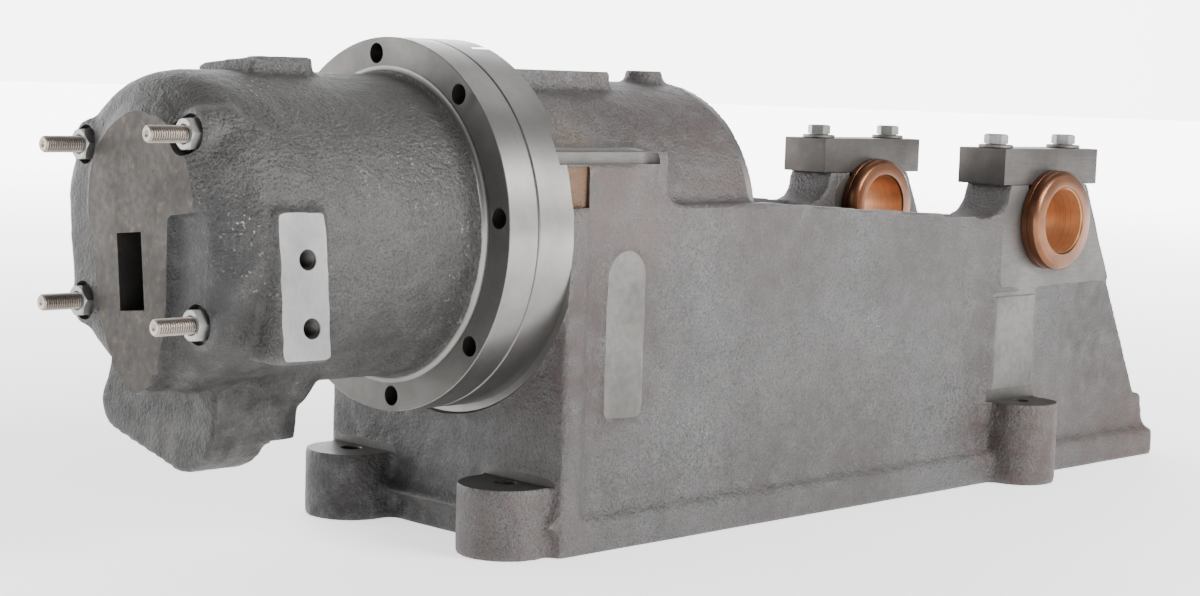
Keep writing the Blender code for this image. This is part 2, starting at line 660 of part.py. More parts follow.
# --- Bearings ------------------------------------------------------------------------------
def build_bearing(side):
    tag = "near" if side < 0 else "far"
    middle = side * sum(PEDESTAL_Y) / 2
    low, high = sorted((side * PEDESTAL_Y[0], side * PEDESTAL_Y[1]))
    cap_low = PEDESTAL_TOP + GAP
    cap_high = cap_low + CAP_T
    cap = box(f"bearing_cap_{tag}", CAP_X, (low, high), (cap_low, cap_high), MACHINE,
              "plain_steel")
    cut(cap, rod("cap_saddle", "Y", -0.2, 0.2, BUSH_BODY_R + GAP, (BEARING_X, BEARING_Z),
                 segments=48))

    inner = high + GAP
    outer = inner + BUSH_FLANGE_T
    edge = BUSH_CHAMFER
    half = [(BUSH_FLANGE_R - edge, outer), (BUSH_FLANGE_R, outer - edge),
            (BUSH_FLANGE_R, inner), (BUSH_BODY_R, inner)]
    other_inner = low - GAP
    other_outer = other_inner - BUSH_FLANGE_T
    profile = half + [(BUSH_BODY_R, other_inner), (BUSH_FLANGE_R, other_inner),
                      (BUSH_FLANGE_R, other_outer + edge),
                      (BUSH_FLANGE_R - edge, other_outer), (BUSH_BORE_R, other_outer),
                      (BUSH_BORE_R, outer)]
    bush = turned(f"bearing_bush_{tag}", profile, "Y", MACHINE, "bronze",
                  (BEARING_X, 0, BEARING_Z), steps=36, closed=True)

    dowel_hole_z = BEARING_Z + BUSH_BORE_R + 0.0025
    dowel_r = BUSH_DOWEL_R
    cut(cap, rod("cap_dowel_hole", "Z", 0.28, cap_low + 0.015, dowel_r + GAP,
                 (BEARING_X, middle), segments=16))
    cut(bush, rod("bush_dowel_hole", "Z", dowel_hole_z, 0.31, dowel_r + GAP,
                  (BEARING_X, middle), segments=16))
    rod(f"bush_dowel_{tag}", "Z", dowel_hole_z + GAP, cap_low + 0.0147, dowel_r,
        (BEARING_X, middle), material="bright_steel", segments=16)

    for name, offset in (("front", -CAP_BOLT_PITCH / 2), ("rear", CAP_BOLT_PITCH / 2)):
        x = BEARING_X + offset
        cut(cap, rod("cap_hole", "Z", 0.28, 0.34, CAP_BOLT_R + GAP, (x, middle),
                     segments=16))
        turned(f"cap_washer_{tag}_{name}",
               [(WASHER_R, WASHER_T), (WASHER_R, 0.0), (CAP_BOLT_R + GAP, 0.0),
                (CAP_BOLT_R + GAP, WASHER_T)], "Z", MACHINE, "bright_steel",
               (x, middle, cap_high + GAP), steps=16, closed=True)
        seat = cap_high + 2 * GAP + WASHER_T
        bolt = hexagon(f"cap_bolt_{tag}_{name}", "Z", seat, seat + CAP_BOLT_HEAD,
                       CAP_BOLT_AF, (x, middle), MACHINE, "bright_steel")
        join(bolt, rod("bolt_shank", "Z", CAP_BOLT_END_Z, seat + 0.004, CAP_BOLT_R,
                       (x, middle), segments=16))


build_base_frame()
build_housing()
build_gasket()
build_flange_dowels()
build_adjusting_set()
build_liner()
build_crosshead()
for bearing_side in (-1, 1):
    build_bearing(bearing_side)
bpy.context.view_layer.update()
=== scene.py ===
"""Looks for the crank-type machine frame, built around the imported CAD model.

The two castings are made the way a foundry and a machine shop make them. The CAD solid, with
its holes filled and some stock on every face that gets machined, becomes one voxel skin, which
is smoothed and roughened like sand-cast iron. Crisp cutters then face, bore, drill and mill it
to the CAD's own sizes. Bolts, nuts, screws, caps and bushes are turned and cut pieces.

Places are in the machine's frame: x = 0 at the housing flange's front face, y across, z up.
"""
import math

import bmesh
import bpy
import numpy as np
from mathutils import Matrix, Vector, noise


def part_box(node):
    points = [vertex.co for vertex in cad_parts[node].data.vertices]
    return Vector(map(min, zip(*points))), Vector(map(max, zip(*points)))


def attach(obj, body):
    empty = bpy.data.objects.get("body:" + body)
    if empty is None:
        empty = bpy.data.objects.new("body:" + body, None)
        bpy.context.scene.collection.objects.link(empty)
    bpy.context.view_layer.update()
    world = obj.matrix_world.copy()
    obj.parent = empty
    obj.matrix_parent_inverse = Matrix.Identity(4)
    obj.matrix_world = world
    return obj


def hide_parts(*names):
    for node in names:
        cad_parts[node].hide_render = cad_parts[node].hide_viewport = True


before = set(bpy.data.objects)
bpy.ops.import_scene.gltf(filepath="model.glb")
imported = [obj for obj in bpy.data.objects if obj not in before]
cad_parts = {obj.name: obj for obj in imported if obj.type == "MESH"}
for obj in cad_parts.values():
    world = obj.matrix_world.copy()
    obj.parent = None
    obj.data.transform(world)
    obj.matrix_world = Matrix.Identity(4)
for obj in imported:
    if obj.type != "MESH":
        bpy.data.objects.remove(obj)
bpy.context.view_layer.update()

# --- Driving dimensions, metres ------------------------------------------------------------
DOME_END_X = -0.238
X_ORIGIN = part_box("cylinder_housing")[0].x - DOME_END_X
AXIS_Z = (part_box("cylinder_liner")[0].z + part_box("cylinder_liner")[1].z) / 2
HOUSING_TILT = math.radians(-6)
TINY = 0.0003                # clearance between touching pieces

FLANGE_R = 0.150
FLANGE_PCD_R = 0.1375
FLANGE_BOLTS = 8
FLANGE_HOLE_R = 0.008
TAPPED_R = 0.0068
DOWEL_R = 0.0043
DOWEL_ANGLES = (math.radians(22.5), math.radians(202.5))
HOUSING_FLANGE_T = 0.0301
FRAME_FLANGE_X = 0.0313
SPIGOT_R = 0.1120
HOUSING_BORE_R = 0.1050
GUIDE_BORE_R = 0.0950
BARREL_R = 0.120
BARREL_END = 0.316

SEAT_X = -0.224
SCREW_R = 0.00635
SCREW_PITCH = 0.00195
SCREW_THREAD = 0.0011        # depth of the thread
SCREW_TIP_X = -0.2665
SCREW_THREAD_END_X = -0.2080
NUT_AF = 0.0222
NUT_T = 0.0118
SCREWS = {"upper_near": (-0.072, 0.067), "upper_far": (0.065, 0.068),
          "lower_near": (-0.070, -0.068), "lower_far": (0.078, -0.049)}
SEAT_R = 0.0140
PAD_FACE_Y = -0.125          # the bright pad on the near side
TAPPED_PAD = ((-0.172, -0.025), (-0.171, -0.074))
END_DISC = (-0.014, 0.020)   # centre (y, z) of the round end face
END_SLOT = ((-0.01575, 0.01575), (-0.057, 0.0))
TOP_PAD_Z = 0.1285
BOSS_X = -0.135
BOSS_FACE_R = 0.0360
BOSS_FACE_Z = -0.160

END_WALL_X = 0.0665
WALL_Y = 0.137
BASE_Y = 0.147
BASE_T = 0.028
FRAME_END_X = 0.942
SHOULDER_Z = 0.277
PAD_Y = 0.1393               # machined facings on the walls
BOLT_FACING_X = (0.652, 0.722)
RAIL_TOP_Z = 0.3840
TOP_BOSS_X = 0.2935
BOSS_TOP_Z = 0.3860

BEARING_X = 0.735
BEARING_Z = 0.2535
BEARING = (BEARING_X, BEARING_Z)
PEDESTAL_Y = (0.0845, 0.1393)
PEDESTAL_MID = sum(PEDESTAL_Y) / 2
PEDESTAL_TOP = 0.288
CAP_X = (0.655, 0.815)
CAP_Z = (PEDESTAL_TOP + TINY, PEDESTAL_TOP + TINY + 0.035)
CAP_BOLT_X = (BEARING_X - 0.0582, BEARING_X + 0.0582)
CAP_BOLT_R = 0.008
BUSH_BODY_R = 0.038
BUSH_BORE_R = 0.0315
BUSH_FLANGE_R = 0.049
BUSH_FLANGE_T = 0.0175
BEARING_FACE_R = 0.0620      # the turned inner face of a pedestal

FRONT_FOOT = (0.051, 0.098, 0.056)      # x, |y|, height
REAR_FOOT = (0.685, 0.150, 0.078)
REAR_FOOT_R = 0.037
FOOT_HOLE_R = 0.0085

BASE_STOCK_Z = -0.0025       # rough castings: stock under the base
FACE_STOCK = 0.002           # stock on a faced boss
PLUG = 0.002                 # how much wider a plug is than the hole that it fills

MACHINE = Matrix.Translation((X_ORIGIN, 0, 0))
BARREL = MACHINE @ Matrix.Translation((0, 0, AXIS_Z))
HOUSING = BARREL @ Matrix.Rotation(HOUSING_TILT, 4, "X")
AXIS_POINT = BARREL.translation
BEARING_POINT = MACHINE @ Vector((BEARING_X, 0, BEARING_Z))

SKIN_PASSES = 6              # smoothing of a raw casting
SKIN_BUDGET = 170000         # its most triangles
FRAME_FINISHES = ("frame_cast", "turned_iron", "milled_iron", "spot_faced_iron",
                  "facing_iron", "rusty_cast")
HOUSING_FINISHES = ("housing_cast", "turned_iron", "milled_iron", "spot_faced_iron",
                    "pad_iron", "end_face_iron", "faced_iron")


# --- Plain shapes --------------------------------------------------------------------------
def added(name, data):
    """A new object in the scene."""
    obj = bpy.data.objects.new(name, data)
    bpy.context.scene.collection.objects.link(obj)
    return obj


def shape(bm, place):
    """A closed mesh from bm, moved to the row frame."""
    bmesh.ops.recalc_face_normals(bm, faces=bm.faces)
    bmesh.ops.transform(bm, matrix=place, verts=bm.verts)
    mesh = bpy.data.meshes.new("shape")
    bm.to_mesh(mesh)
    bm.free()
    return mesh


def box(x, y, z, place=MACHINE, edge=0.0):
    """Box from its low and high x, y and z, with rounded edges if edge is given."""
    bm = bmesh.new()
    bmesh.ops.create_cube(bm, size=1.0)
    bmesh.ops.scale(bm, vec=(x[1] - x[0], y[1] - y[0], z[1] - z[0]), verts=bm.verts)
    bmesh.ops.translate(bm, vec=((x[0] + x[1]) / 2, (y[0] + y[1]) / 2, (z[0] + z[1]) / 2),
                        verts=bm.verts)
    if edge:
        bmesh.ops.bevel(bm, geom=bm.edges, offset=edge, segments=3, profile=0.5,
                        affect="EDGES")
    return shape(bm, place)


AXES = {
    "X": Matrix(((0, 0, 1, 0), (1, 0, 0, 0), (0, 1, 0, 0), (0, 0, 0, 1))),
    "Y": Matrix(((0, 1, 0, 0), (0, 0, 1, 0), (1, 0, 0, 0), (0, 0, 0, 1))),
    "Z": Matrix.Identity(4),
}


def at(axis, centre):
    """Turns a shape made along Z to that axis, through centre on the two other axes."""
    middle = {"X": (0, centre[0], centre[1]), "Y": (centre[0], 0, centre[1]),
              "Z": (centre[0], centre[1], 0)}[axis]
    return Matrix.Translation(middle) @ AXES[axis]


def revolve(profile, axis="X", centre=(0, 0), place=BARREL, steps=128):
    """Turned solid from a closed outline of (radius, station) points."""
    bm = bmesh.new()
    angles = [2 * math.pi * i / steps for i in range(steps)]
    rings = []
    for radius, station in profile:
        if radius < 1e-7:
            rings.append([bm.verts.new((0, 0, station))] * steps)
            continue
        rings.append([bm.verts.new((radius * math.cos(a), radius * math.sin(a), station))
                      for a in angles])
    for first, second in zip(rings, rings[1:] + rings[:1]):
        for i in range(steps):
            j = (i + 1) % steps
            corners = list(dict.fromkeys((first[i], first[j], second[j], second[i])))
            if len(corners) > 2:
                bm.faces.new(corners)
    return shape(bm, place @ at(axis, centre))


def sleeve(inner, outer, start, end, place=BARREL):
    """Ring of a plain section round the barrel's or the housing's axis."""
    return revolve([(inner, start), (outer, start), (outer, end), (inner, end)], place=place)


def rod(axis, start, end, radius, centre=(0, 0), place=MACHINE, end_radius=None, steps=48):
    """Cylinder, or a cone when end_radius is given."""
    last = radius if end_radius is None else end_radius
    return revolve([(0, start), (radius, start), (last, end), (0, end)], axis, centre, place,
                   steps)


def rods(axis, start, end, radius, centres, steps=16, place=HOUSING):
    """The same rod at each of the centres."""
    return [rod(axis, start, end, radius, centre, place, steps=steps) for centre in centres]


def prism(outline, across, plane="XZ", place=MACHINE):
    """Flat outline pushed through, from across[0] to across[1] on the third axis."""
    spot = {"XZ": lambda u, v, w: (u, w, v), "YZ": lambda u, v, w: (w, u, v),
            "XY": lambda u, v, w: (u, v, w)}[plane]
    bm = bmesh.new()
    ends = [[bm.verts.new(spot(u, v, w)) for u, v in outline] for w in across]
    bm.faces.new(ends[0])
    bm.faces.new(ends[1])
    for i in range(len(outline)):
        j = (i + 1) % len(outline)
        bm.faces.new((ends[0][i], ends[0][j], ends[1][j], ends[1][i]))
    return shape(bm, place)


def arc(centre, radius, start, end, count):
    """Points along an arc, from the start to the end angle in degrees."""
    angles = [math.radians(start + (end - start) * i / (count - 1)) for i in range(count)]
    return [(centre[0] + radius * math.cos(a), centre[1] + radius * math.sin(a))
            for a in angles]


def cove(corner, a, b):
    """Section of a hollow fillet in a corner, with legs a and b (signed) on the two axes."""
    u, v = corner
    root = 0.004             # how far it reaches into the walls
    count = 6
    curve = [(u + a * (1 - math.cos(t)), v + b * (1 - math.sin(t)))
             for t in [math.pi / 2 * i / (count - 1) for i in range(count)]]
    back_u = u - math.copysign(root, a)
    back_v = v - math.copysign(root, b)
    return [(back_u, back_v), (back_u, v + b)] + curve + [(u + a, back_v)]


def both(make):
    """The same shape on the near and the far side: make gets the sign of y."""
    return [make(-1), make(1)]


def side(sign, low, high):
    """Range on y for one side, from distances off the centre plane."""
    return tuple(sorted((sign * low, sign * high)))


def merged(meshes):
    """One mesh from several, which are removed."""
    bm = bmesh.new()
    for mesh in meshes:
        bm.from_mesh(mesh)
        bpy.data.meshes.remove(mesh)
    mesh = bpy.data.meshes.new("merged")
    bm.to_mesh(mesh)
    bm.free()
    return mesh


# --- Materials -----------------------------------------------------------------------------
def scaled(colour, factor):
    """A darker or lighter shade of a colour."""
    return tuple(factor * part for part in colour)


class Nodes:
    """Short calls for the nodes of one tree."""

    def __init__(self, tree):
        self.tree = tree

    def add(self, kind, inputs=None, **settings):
        node = self.tree.nodes.new("ShaderNode" + kind)
        for key, value in settings.items():
            setattr(node, key, value)
        for key, value in (inputs or {}).items():
            if isinstance(value, bpy.types.NodeSocket):
                self.tree.links.new(value, node.inputs[key])
            else:
                node.inputs[key].default_value = value
        return node

    def plus(self, first, second, operation="ADD"):
        return self.add("Math", {0: first, 1: second}, operation=operation).outputs["Value"]

    def times(self, first, second):
        return self.plus(first, second, "MULTIPLY")


class Shader(Nodes):
    """One material with a principled surface."""

    def __init__(self, name, metallic, roughness):
        self.material = bpy.data.materials.new(name)
        self.material.use_nodes = True
        super().__init__(self.material.node_tree)
        self.surface = self.tree.nodes["Principled BSDF"]
        self.surface.inputs["Metallic"].default_value = metallic
        self.surface.inputs["Roughness"].default_value = roughness
        self.place = self.add("TexCoord").outputs["Object"]

    def set(self, name, socket):
        self.tree.links.new(socket, self.surface.inputs[name])

    def noise(self, scale, detail, roughness, vector=None, distortion=0.0):
        return self.add("TexNoise", {"Vector": vector or self.place, "Scale": scale,
                                     "Detail": detail, "Roughness": roughness,
                                     "Distortion": distortion}).outputs["Fac"]

    def stretch(self, scale):
        return self.add("Mapping", {"Vector": self.place, "Scale": scale}).outputs["Vector"]

    def span(self, value, low, high, out_low=0.0, out_high=1.0):
        return self.add("MapRange", {"Value": value, "From Min": low, "From Max": high,
                                     "To Min": out_low, "To Max": out_high}
                        ).outputs["Result"]

    def mix(self, factor, first, second):
        node = self.add("Mix", data_type="RGBA")
        for key, value in ((0, factor), (6, first), (7, second)):
            if isinstance(value, bpy.types.NodeSocket):
                self.tree.links.new(value, node.inputs[key])
            elif key == 0:
                node.inputs[key].default_value = value
            else:
                node.inputs[key].default_value = (*value, 1.0)
        return node.outputs[2]

    def bump(self, height, distance, strength, below=None):
        inputs = {"Height": height, "Distance": distance, "Strength": strength}
        if below is not None:
            inputs["Normal"] = below
        return self.add("Bump", inputs).outputs["Normal"]

    def near(self, point, radius):
        """1 round a point of the row frame, falling to 0 from half the radius on."""
        away = self.add("VectorMath", {0: self.place, 1: point}, operation="DISTANCE")
        return self.span(away.outputs["Value"], radius * 0.5, radius, 1.0, 0.0)

    def crevice(self, distance):
        """1 in the open, falling towards 0 in corners and hollows."""
        return self.add("AmbientOcclusion", {"Distance": distance}, samples=6,
                        only_local=True).outputs["AO"]

    def edges(self):
        """Above 0.5 on edges that stick out."""
        return self.add("NewGeometry").outputs["Pointiness"]


def cast_iron(name, dark, middle, light, stains_and_shade, flecks, pits):
    """Blasted sand-cast iron: mottled grey, a grainy skin, painted shade with grime in the
    corners, and dark patches from a list, which are stains on the frame and painted shade on
    the housing.
    """
    s = Shader(name, 0.35, 0.6)
    patches = s.span(s.noise(7, 4, 0.6), 0.36, 0.66)
    mottle = s.span(s.noise(48, 5, 0.7, distortion=0.3), 0.32, 0.70)
    grain = s.noise(640, 3, 0.6)
    colour = s.mix(patches, dark, middle)
    colour = s.mix(s.times(mottle, 0.5), colour, light)
    pepper = s.times(s.span(grain, 0.49, 0.38), pits)
    colour = s.mix(pepper, colour, scaled(dark, 0.30))
    salt = s.times(s.span(grain, 0.55, 0.66), 0.35)
    colour = s.mix(salt, colour, scaled(light, 1.4))
    fleck_zone = s.span(s.noise(13, 2, 0.5), 0.54, 0.72)
    fleck = s.times(s.span(s.noise(380, 2, 0.5), 0.64, 0.71), fleck_zone)
    colour = s.mix(s.times(fleck, flecks), colour, (0.34, 0.34, 0.335))
    ragged = s.span(s.noise(60, 5, 0.65), 0.30, 0.62)
    # Dark patches: real stains on the frame, painted shade on the housing.
    for point, radius, tint, amount in stains_and_shade:
        mask = s.times(s.near(MACHINE @ Vector(point), radius), ragged)
        colour = s.mix(s.times(mask, amount), colour, tint)
    worn = s.span(s.edges(), 0.52, 0.60)
    colour = s.mix(s.times(worn, 0.45), colour, (0.20, 0.195, 0.19))
    # Painted shade with grime: the colour darkens in corners and hollows, from ambient
    # occlusion.
    corner_shade_and_grime = s.span(s.crevice(0.022), 0.15, 0.75)
    colour = s.mix(corner_shade_and_grime, scaled(dark, 0.35), colour)
    s.set("Base Color", colour)
    s.set("Roughness", s.span(grain, 0.3, 0.7, 0.44, 0.66))
    skin = s.plus(s.noise(330, 3, 0.6), s.times(s.noise(90, 3, 0.5), 0.9))
    relief = s.bump(skin, 0.0020, 0.85)
    s.set("Normal", s.bump(s.noise(800, 2, 0.5), 0.0006, 0.6, relief))
    return s.material


def machined(name, colour, roughness, lines, depth=0.00004, rust=0.25, corner_shade_and_grime=0.62,
             reach=0.010):
    """Cut metal: tool marks along lines, faint tarnish in clouds, brown specks. Corners within
    reach get painted shade with grime, darkened to the given factor times the colour."""
    s = Shader(name, 0.9, roughness)
    spread = 0.12            # of the roughness, from mark to mark
    marks = s.noise(1.0, 2, 0.6, lines(s))
    fine = s.noise(900, 2, 0.5)
    clouds = s.span(s.noise(16, 4, 0.6), 0.35, 0.68)
    tint = s.mix(clouds, colour, scaled(colour, 0.62))
    tint = s.mix(s.span(marks, 0.35, 0.65, 0.0, 0.22), tint, scaled(colour, 0.5))
    brown = s.times(s.span(s.noise(90, 5, 0.7), 0.55, 0.75), rust)
    tint = s.mix(brown, tint, (0.20, 0.13, 0.085))
    # Painted shade with grime in the corners.
    tint = s.mix(s.span(s.crevice(reach), 0.1, 0.7), scaled(colour, corner_shade_and_grime), tint)
    s.set("Base Color", tint)
    shine = s.span(marks, 0.3, 0.7, roughness - spread / 2, roughness + spread / 2)
    s.set("Roughness", s.plus(shine, s.times(clouds, spread / 2)))
    s.set("Normal", s.bump(s.plus(marks, s.times(fine, 0.3)), depth, 0.8))
    return s.material


def around(s, point, axis):
    """Radius and station of the shaded spot, about the line along axis through point."""
    shifted = s.add("VectorMath", {0: s.place, 1: point}, operation="SUBTRACT")
    off_axis = [float(key != axis) for key in "XYZ"]
    flat = s.add("VectorMath", {0: shifted.outputs["Vector"], 1: off_axis},
                 operation="MULTIPLY")
    radius = s.add("VectorMath", {0: flat.outputs["Vector"]}, operation="LENGTH")
    station = s.add("SeparateXYZ", {0: shifted.outputs["Vector"]}).outputs[axis]
    return radius.outputs["Value"], station


def turned_lines(scale, point=AXIS_POINT, axis="X"):
    """Rings left by a lathe: the noise runs over radius plus station."""
    def lines(s):
        along = s.times(s.plus(*around(s, point, axis)), scale)
        return s.add("CombineXYZ", {"X": along}).outputs["Vector"]
    return lines


def straight_lines(*scale):
    """Marks along the axis with the smallest scale."""
    return lambda s: s.stretch(scale)


def gasket_paper():
    """Oiled fibre sheet."""
    s = Shader("gasket_paper", 0.0, 0.85)
    fibres = s.noise(1.0, 4, 0.7, s.stretch((300, 900, 500)))
    s.set("Base Color", s.mix(s.span(fibres, 0.3, 0.7), (0.05, 0.045, 0.04),
                              (0.12, 0.105, 0.09)))
    s.set("Normal", s.bump(fibres, 0.0001, 0.6))
    return s.material


def bearing_bronze():
    """Turned bronze, with painted light in the bore and painted shade on the faces."""
    s = Shader("bronze", 0.9, 0.30)
    marks = s.noise(1.0, 2, 0.6, turned_lines(1300, BEARING_POINT, "Y")(s))
    clouds = s.span(s.noise(26, 4, 0.6), 0.35, 0.68)
    radius = around(s, BEARING_POINT, "Y")[0]
    bore = s.span(radius, BUSH_BORE_R + 0.0008, BUSH_BORE_R + 0.0002)
    # Painted shade: a dark bronze on the faces. Painted light: a bright bronze in the bore.
    face = s.mix(clouds, (0.185, 0.082, 0.042), (0.110, 0.050, 0.028))
    painted_lit_bore = s.mix(clouds, (0.60, 0.29, 0.13), (0.36, 0.17, 0.080))
    s.set("Base Color", s.mix(bore, face, painted_lit_bore))
    s.set("Metallic", s.span(bore, 0, 1, 0.9, 0.55))
    s.set("Roughness", s.span(marks, 0.3, 0.7, 0.24, 0.36))
    s.set("Normal", s.bump(marks, 0.00005, 0.8))
    return s.material


BROWN = (0.058, 0.036, 0.031)
PINK_BROWN = (0.088, 0.062, 0.057)
FRAME_STAINS = [             # (place in the machine, radius, tint, amount)
    ((0.114, -0.140, 0.300), 0.034, (0.040, 0.030, 0.030), 0.9),
    ((0.090, -0.100, 0.335), 0.060, (0.085, 0.055, 0.035), 0.7),
    ((0.235, -0.085, 0.335), 0.130, (0.062, 0.044, 0.040), 0.55),
    ((0.290, -0.100, 0.320), 0.070, (0.070, 0.050, 0.050), 0.6),
    ((0.130, -0.140, 0.262), 0.080, PINK_BROWN, 0.7),
    ((0.100, -0.142, 0.160), 0.110, (0.046, 0.030, 0.029), 0.75),
    ((0.330, -0.140, 0.262), 0.100, (0.048, 0.036, 0.034), 0.6),
    ((0.560, -0.140, 0.255), 0.110, (0.042, 0.034, 0.033), 0.6),
    ((0.640, -0.140, 0.150), 0.070, (0.044, 0.034, 0.033), 0.6),
    ((0.400, -0.147, 0.020), 0.150, (0.045, 0.036, 0.034), 0.6),
    ((0.685, -0.175, 0.045), 0.100, BROWN, 0.85),
    ((0.860, -0.140, 0.060), 0.140, BROWN, 0.55),
    ((0.935, -0.140, 0.030), 0.120, BROWN, 0.7),
    ((0.051, -0.110, 0.020), 0.080, (0.085, 0.060, 0.055), 0.5),
    ((0.051, 0.098, 0.030), 0.120, (0.014, 0.012, 0.012), 0.9),
    ((0.062, 0.010, 0.060), 0.130, (0.026, 0.024, 0.023), 0.7),
    ((0.860, -0.137, 0.150), 0.130, (0.032, 0.029, 0.028), 0.85),
    ((0.230, -0.040, 0.370), 0.120, (0.036, 0.028, 0.026), 0.7),
    ((0.640, -0.100, 0.290), 0.090, (0.070, 0.058, 0.055), 0.6),
    ((0.650, 0.110, 0.290), 0.090, (0.070, 0.058, 0.055), 0.6),
]
# Painted shade on the housing: broad dark patches on the lobe, the dome front and the low
# barrel, the faces turned from the light.
HOUSING_SHADE = [
    ((-0.215, -0.070, 0.250), 0.050, (0.026, 0.029, 0.036), 0.75),
    ((-0.215, -0.070, 0.215), 0.040, (0.026, 0.029, 0.036), 0.6),
    ((-0.165, 0.020, 0.095), 0.190, (0.009, 0.008, 0.007), 1.0),
    ((-0.235, 0.020, 0.330), 0.110, (0.020, 0.018, 0.016), 0.8),
    ((-0.225, -0.060, 0.240), 0.090, (0.022, 0.021, 0.021), 0.7),
    ((-0.020, -0.080, 0.150), 0.120, (0.020, 0.018, 0.017), 0.8),
]
CUT_METALS = {               # colour, roughness, tool marks, and what else it has of its own
    "turned_iron": ((0.235, 0.228, 0.218), 0.31, turned_lines(1400), {}),
    "faced_iron": ((0.150, 0.146, 0.138), 0.50, turned_lines(1400), {}),
    "milled_iron": ((0.140, 0.134, 0.128), 0.46, straight_lines(60, 1200, 900), {}),
    "end_face_iron": ((0.048, 0.043, 0.038), 0.50, straight_lines(900, 160, 160),
                      {"rust": 0.30}),
    "spot_faced_iron": ((0.095, 0.090, 0.085), 0.45, straight_lines(700, 700, 200),
                        {"rust": 0.3}),
    "pad_iron": ((0.215, 0.212, 0.212), 0.42, straight_lines(900, 200, 160), {"rust": 0.06}),
    "facing_iron": ((0.145, 0.140, 0.132), 0.50, straight_lines(160, 900, 160),
                    {"rust": 0.10}),
    "cap_steel": ((0.080, 0.074, 0.070), 0.46, straight_lines(50, 900, 1100),
                  {"rust": 0.18}),
    "bolt_steel": ((0.27, 0.268, 0.262), 0.42, straight_lines(500, 500, 60), {"rust": 0.18}),
    "washer_steel": ((0.20, 0.185, 0.17), 0.45, straight_lines(400, 400, 400),
                     {"rust": 0.35}),
    # The stud steel paints its thread grooves nearly black, painted shade that makes the
    # threads show.
    "stud_steel": ((0.36, 0.315, 0.275), 0.34, straight_lines(300, 900, 900),
                   {"rust": 0.35, "corner_shade_and_grime": 0.05, "reach": 0.0016}),
    "nut_steel": ((0.33, 0.328, 0.315), 0.42, straight_lines(80, 600, 600), {"rust": 0.15}),
    "ground_steel": ((0.50, 0.50, 0.49), 0.25, turned_lines(2500),
                     {"depth": 0.00002, "rust": 0.05}),
    "crosshead_iron": ((0.22, 0.22, 0.215), 0.42, turned_lines(1100),
                       {"depth": 0.00006, "rust": 0.15}),
    "band_bronze": ((0.50, 0.25, 0.11), 0.30, turned_lines(1300), {"rust": 0.10}),
}
MATERIALS = {name: machined(name, colour, roughness, lines, **own)
             for name, (colour, roughness, lines, own) in CUT_METALS.items()}
CAST_IRONS = {               # dark, middle and light grey, stains and painted shade, flecks and pits
    "frame_cast": ((0.054, 0.052, 0.051), (0.080, 0.078, 0.077), (0.122, 0.118, 0.116),
                   FRAME_STAINS, 0.5, 0.75),
    "housing_cast": ((0.035, 0.033, 0.031), (0.054, 0.051, 0.048), (0.084, 0.081, 0.077),
                     HOUSING_SHADE, 0.9, 0.75),
    "rusty_cast": ((0.075, 0.036, 0.016), (0.110, 0.055, 0.026), (0.140, 0.092, 0.060),
                   [], 0.2, 0.3),
}
MATERIALS.update({name: cast_iron(name, *look) for name, look in CAST_IRONS.items()})
MATERIALS["bronze"] = bearing_bronze()
MATERIALS["gasket_paper"] = gasket_paper()


# --- Casting and machining -----------------------------------------------------------------
def raw_casting(name, node, extra, voxel, lumps):
    """The rough casting: the CAD solid and the extra shapes as one smoothed voxel skin."""
    obj = added(name, merged([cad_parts[node].data.copy()] + extra))
    skin = obj.modifiers.new("skin", "REMESH")
    skin.mode = "VOXEL"
    skin.voxel_size = voxel
    even = obj.modifiers.new("even", "SMOOTH")
    even.factor = 0.5
    even.iterations = SKIN_PASSES
    bake(obj)
    faces = 2 * len(obj.data.polygons)
    if faces > SKIN_BUDGET:
        thin = obj.modifiers.new("thin", "DECIMATE")
        thin.ratio = SKIN_BUDGET / faces
        bake(obj)
    roughen(obj.data, lumps)
    return obj


def roughen(mesh, lumps):
    """Moves every point along its normal by the sum of some noises of (scale, amount)."""
    count = len(mesh.vertices)
    spots = np.empty(count * 3, np.float32)
    normals = np.empty(count * 3, np.float32)
    mesh.vertices.foreach_get("co", spots)
    mesh.vertex_normals.foreach_get("vector", normals)
    spots = spots.reshape(-1, 3)
    rise = np.array([sum(amount * noise.noise(Vector(spot) * scale)
                         for scale, amount in lumps) for spot in spots.tolist()])
    spots = spots + normals.reshape(-1, 3) * rise[:, None]
    mesh.vertices.foreach_set("co", spots.astype(np.float32).ravel())
    mesh.update()


def boolean(obj, operation, mesh):
    """Adds a boolean step to the object, and returns the tool object that it works with."""
    tool = added("tool", mesh)
    step = obj.modifiers.new("step", "BOOLEAN")
    step.operation = operation
    step.solver = "MANIFOLD"
    step.object = tool
    return tool


def bake(obj, tools=()):
    """Replaces the object's mesh by the evaluated one, and drops its modifiers and tools."""
    bpy.context.view_layer.update()
    evaluated = obj.evaluated_get(bpy.context.evaluated_depsgraph_get())
    mesh = bpy.data.meshes.new_from_object(evaluated)
    obj.modifiers.clear()
    obj.data = mesh
    for tool in tools:
        bpy.data.objects.remove(tool)


def machine(obj, finishes, cutters):
    """Cuts the casting. Each cutter is (meshes, the finish that it leaves)."""
    def clothe(mesh):
        mesh.materials.clear()
        for name in finishes:
            mesh.materials.append(MATERIALS[name])

    clothe(obj.data)
    tools = []
    for meshes, finish_name in cutters:
        mesh = merged(meshes)
        clothe(mesh)
        index = finishes.index(finish_name)
        mesh.polygons.foreach_set("material_index", [index] * len(mesh.polygons))
        tools.append(boolean(obj, "DIFFERENCE", mesh))
    bake(obj, tools)
    shade(obj.data)


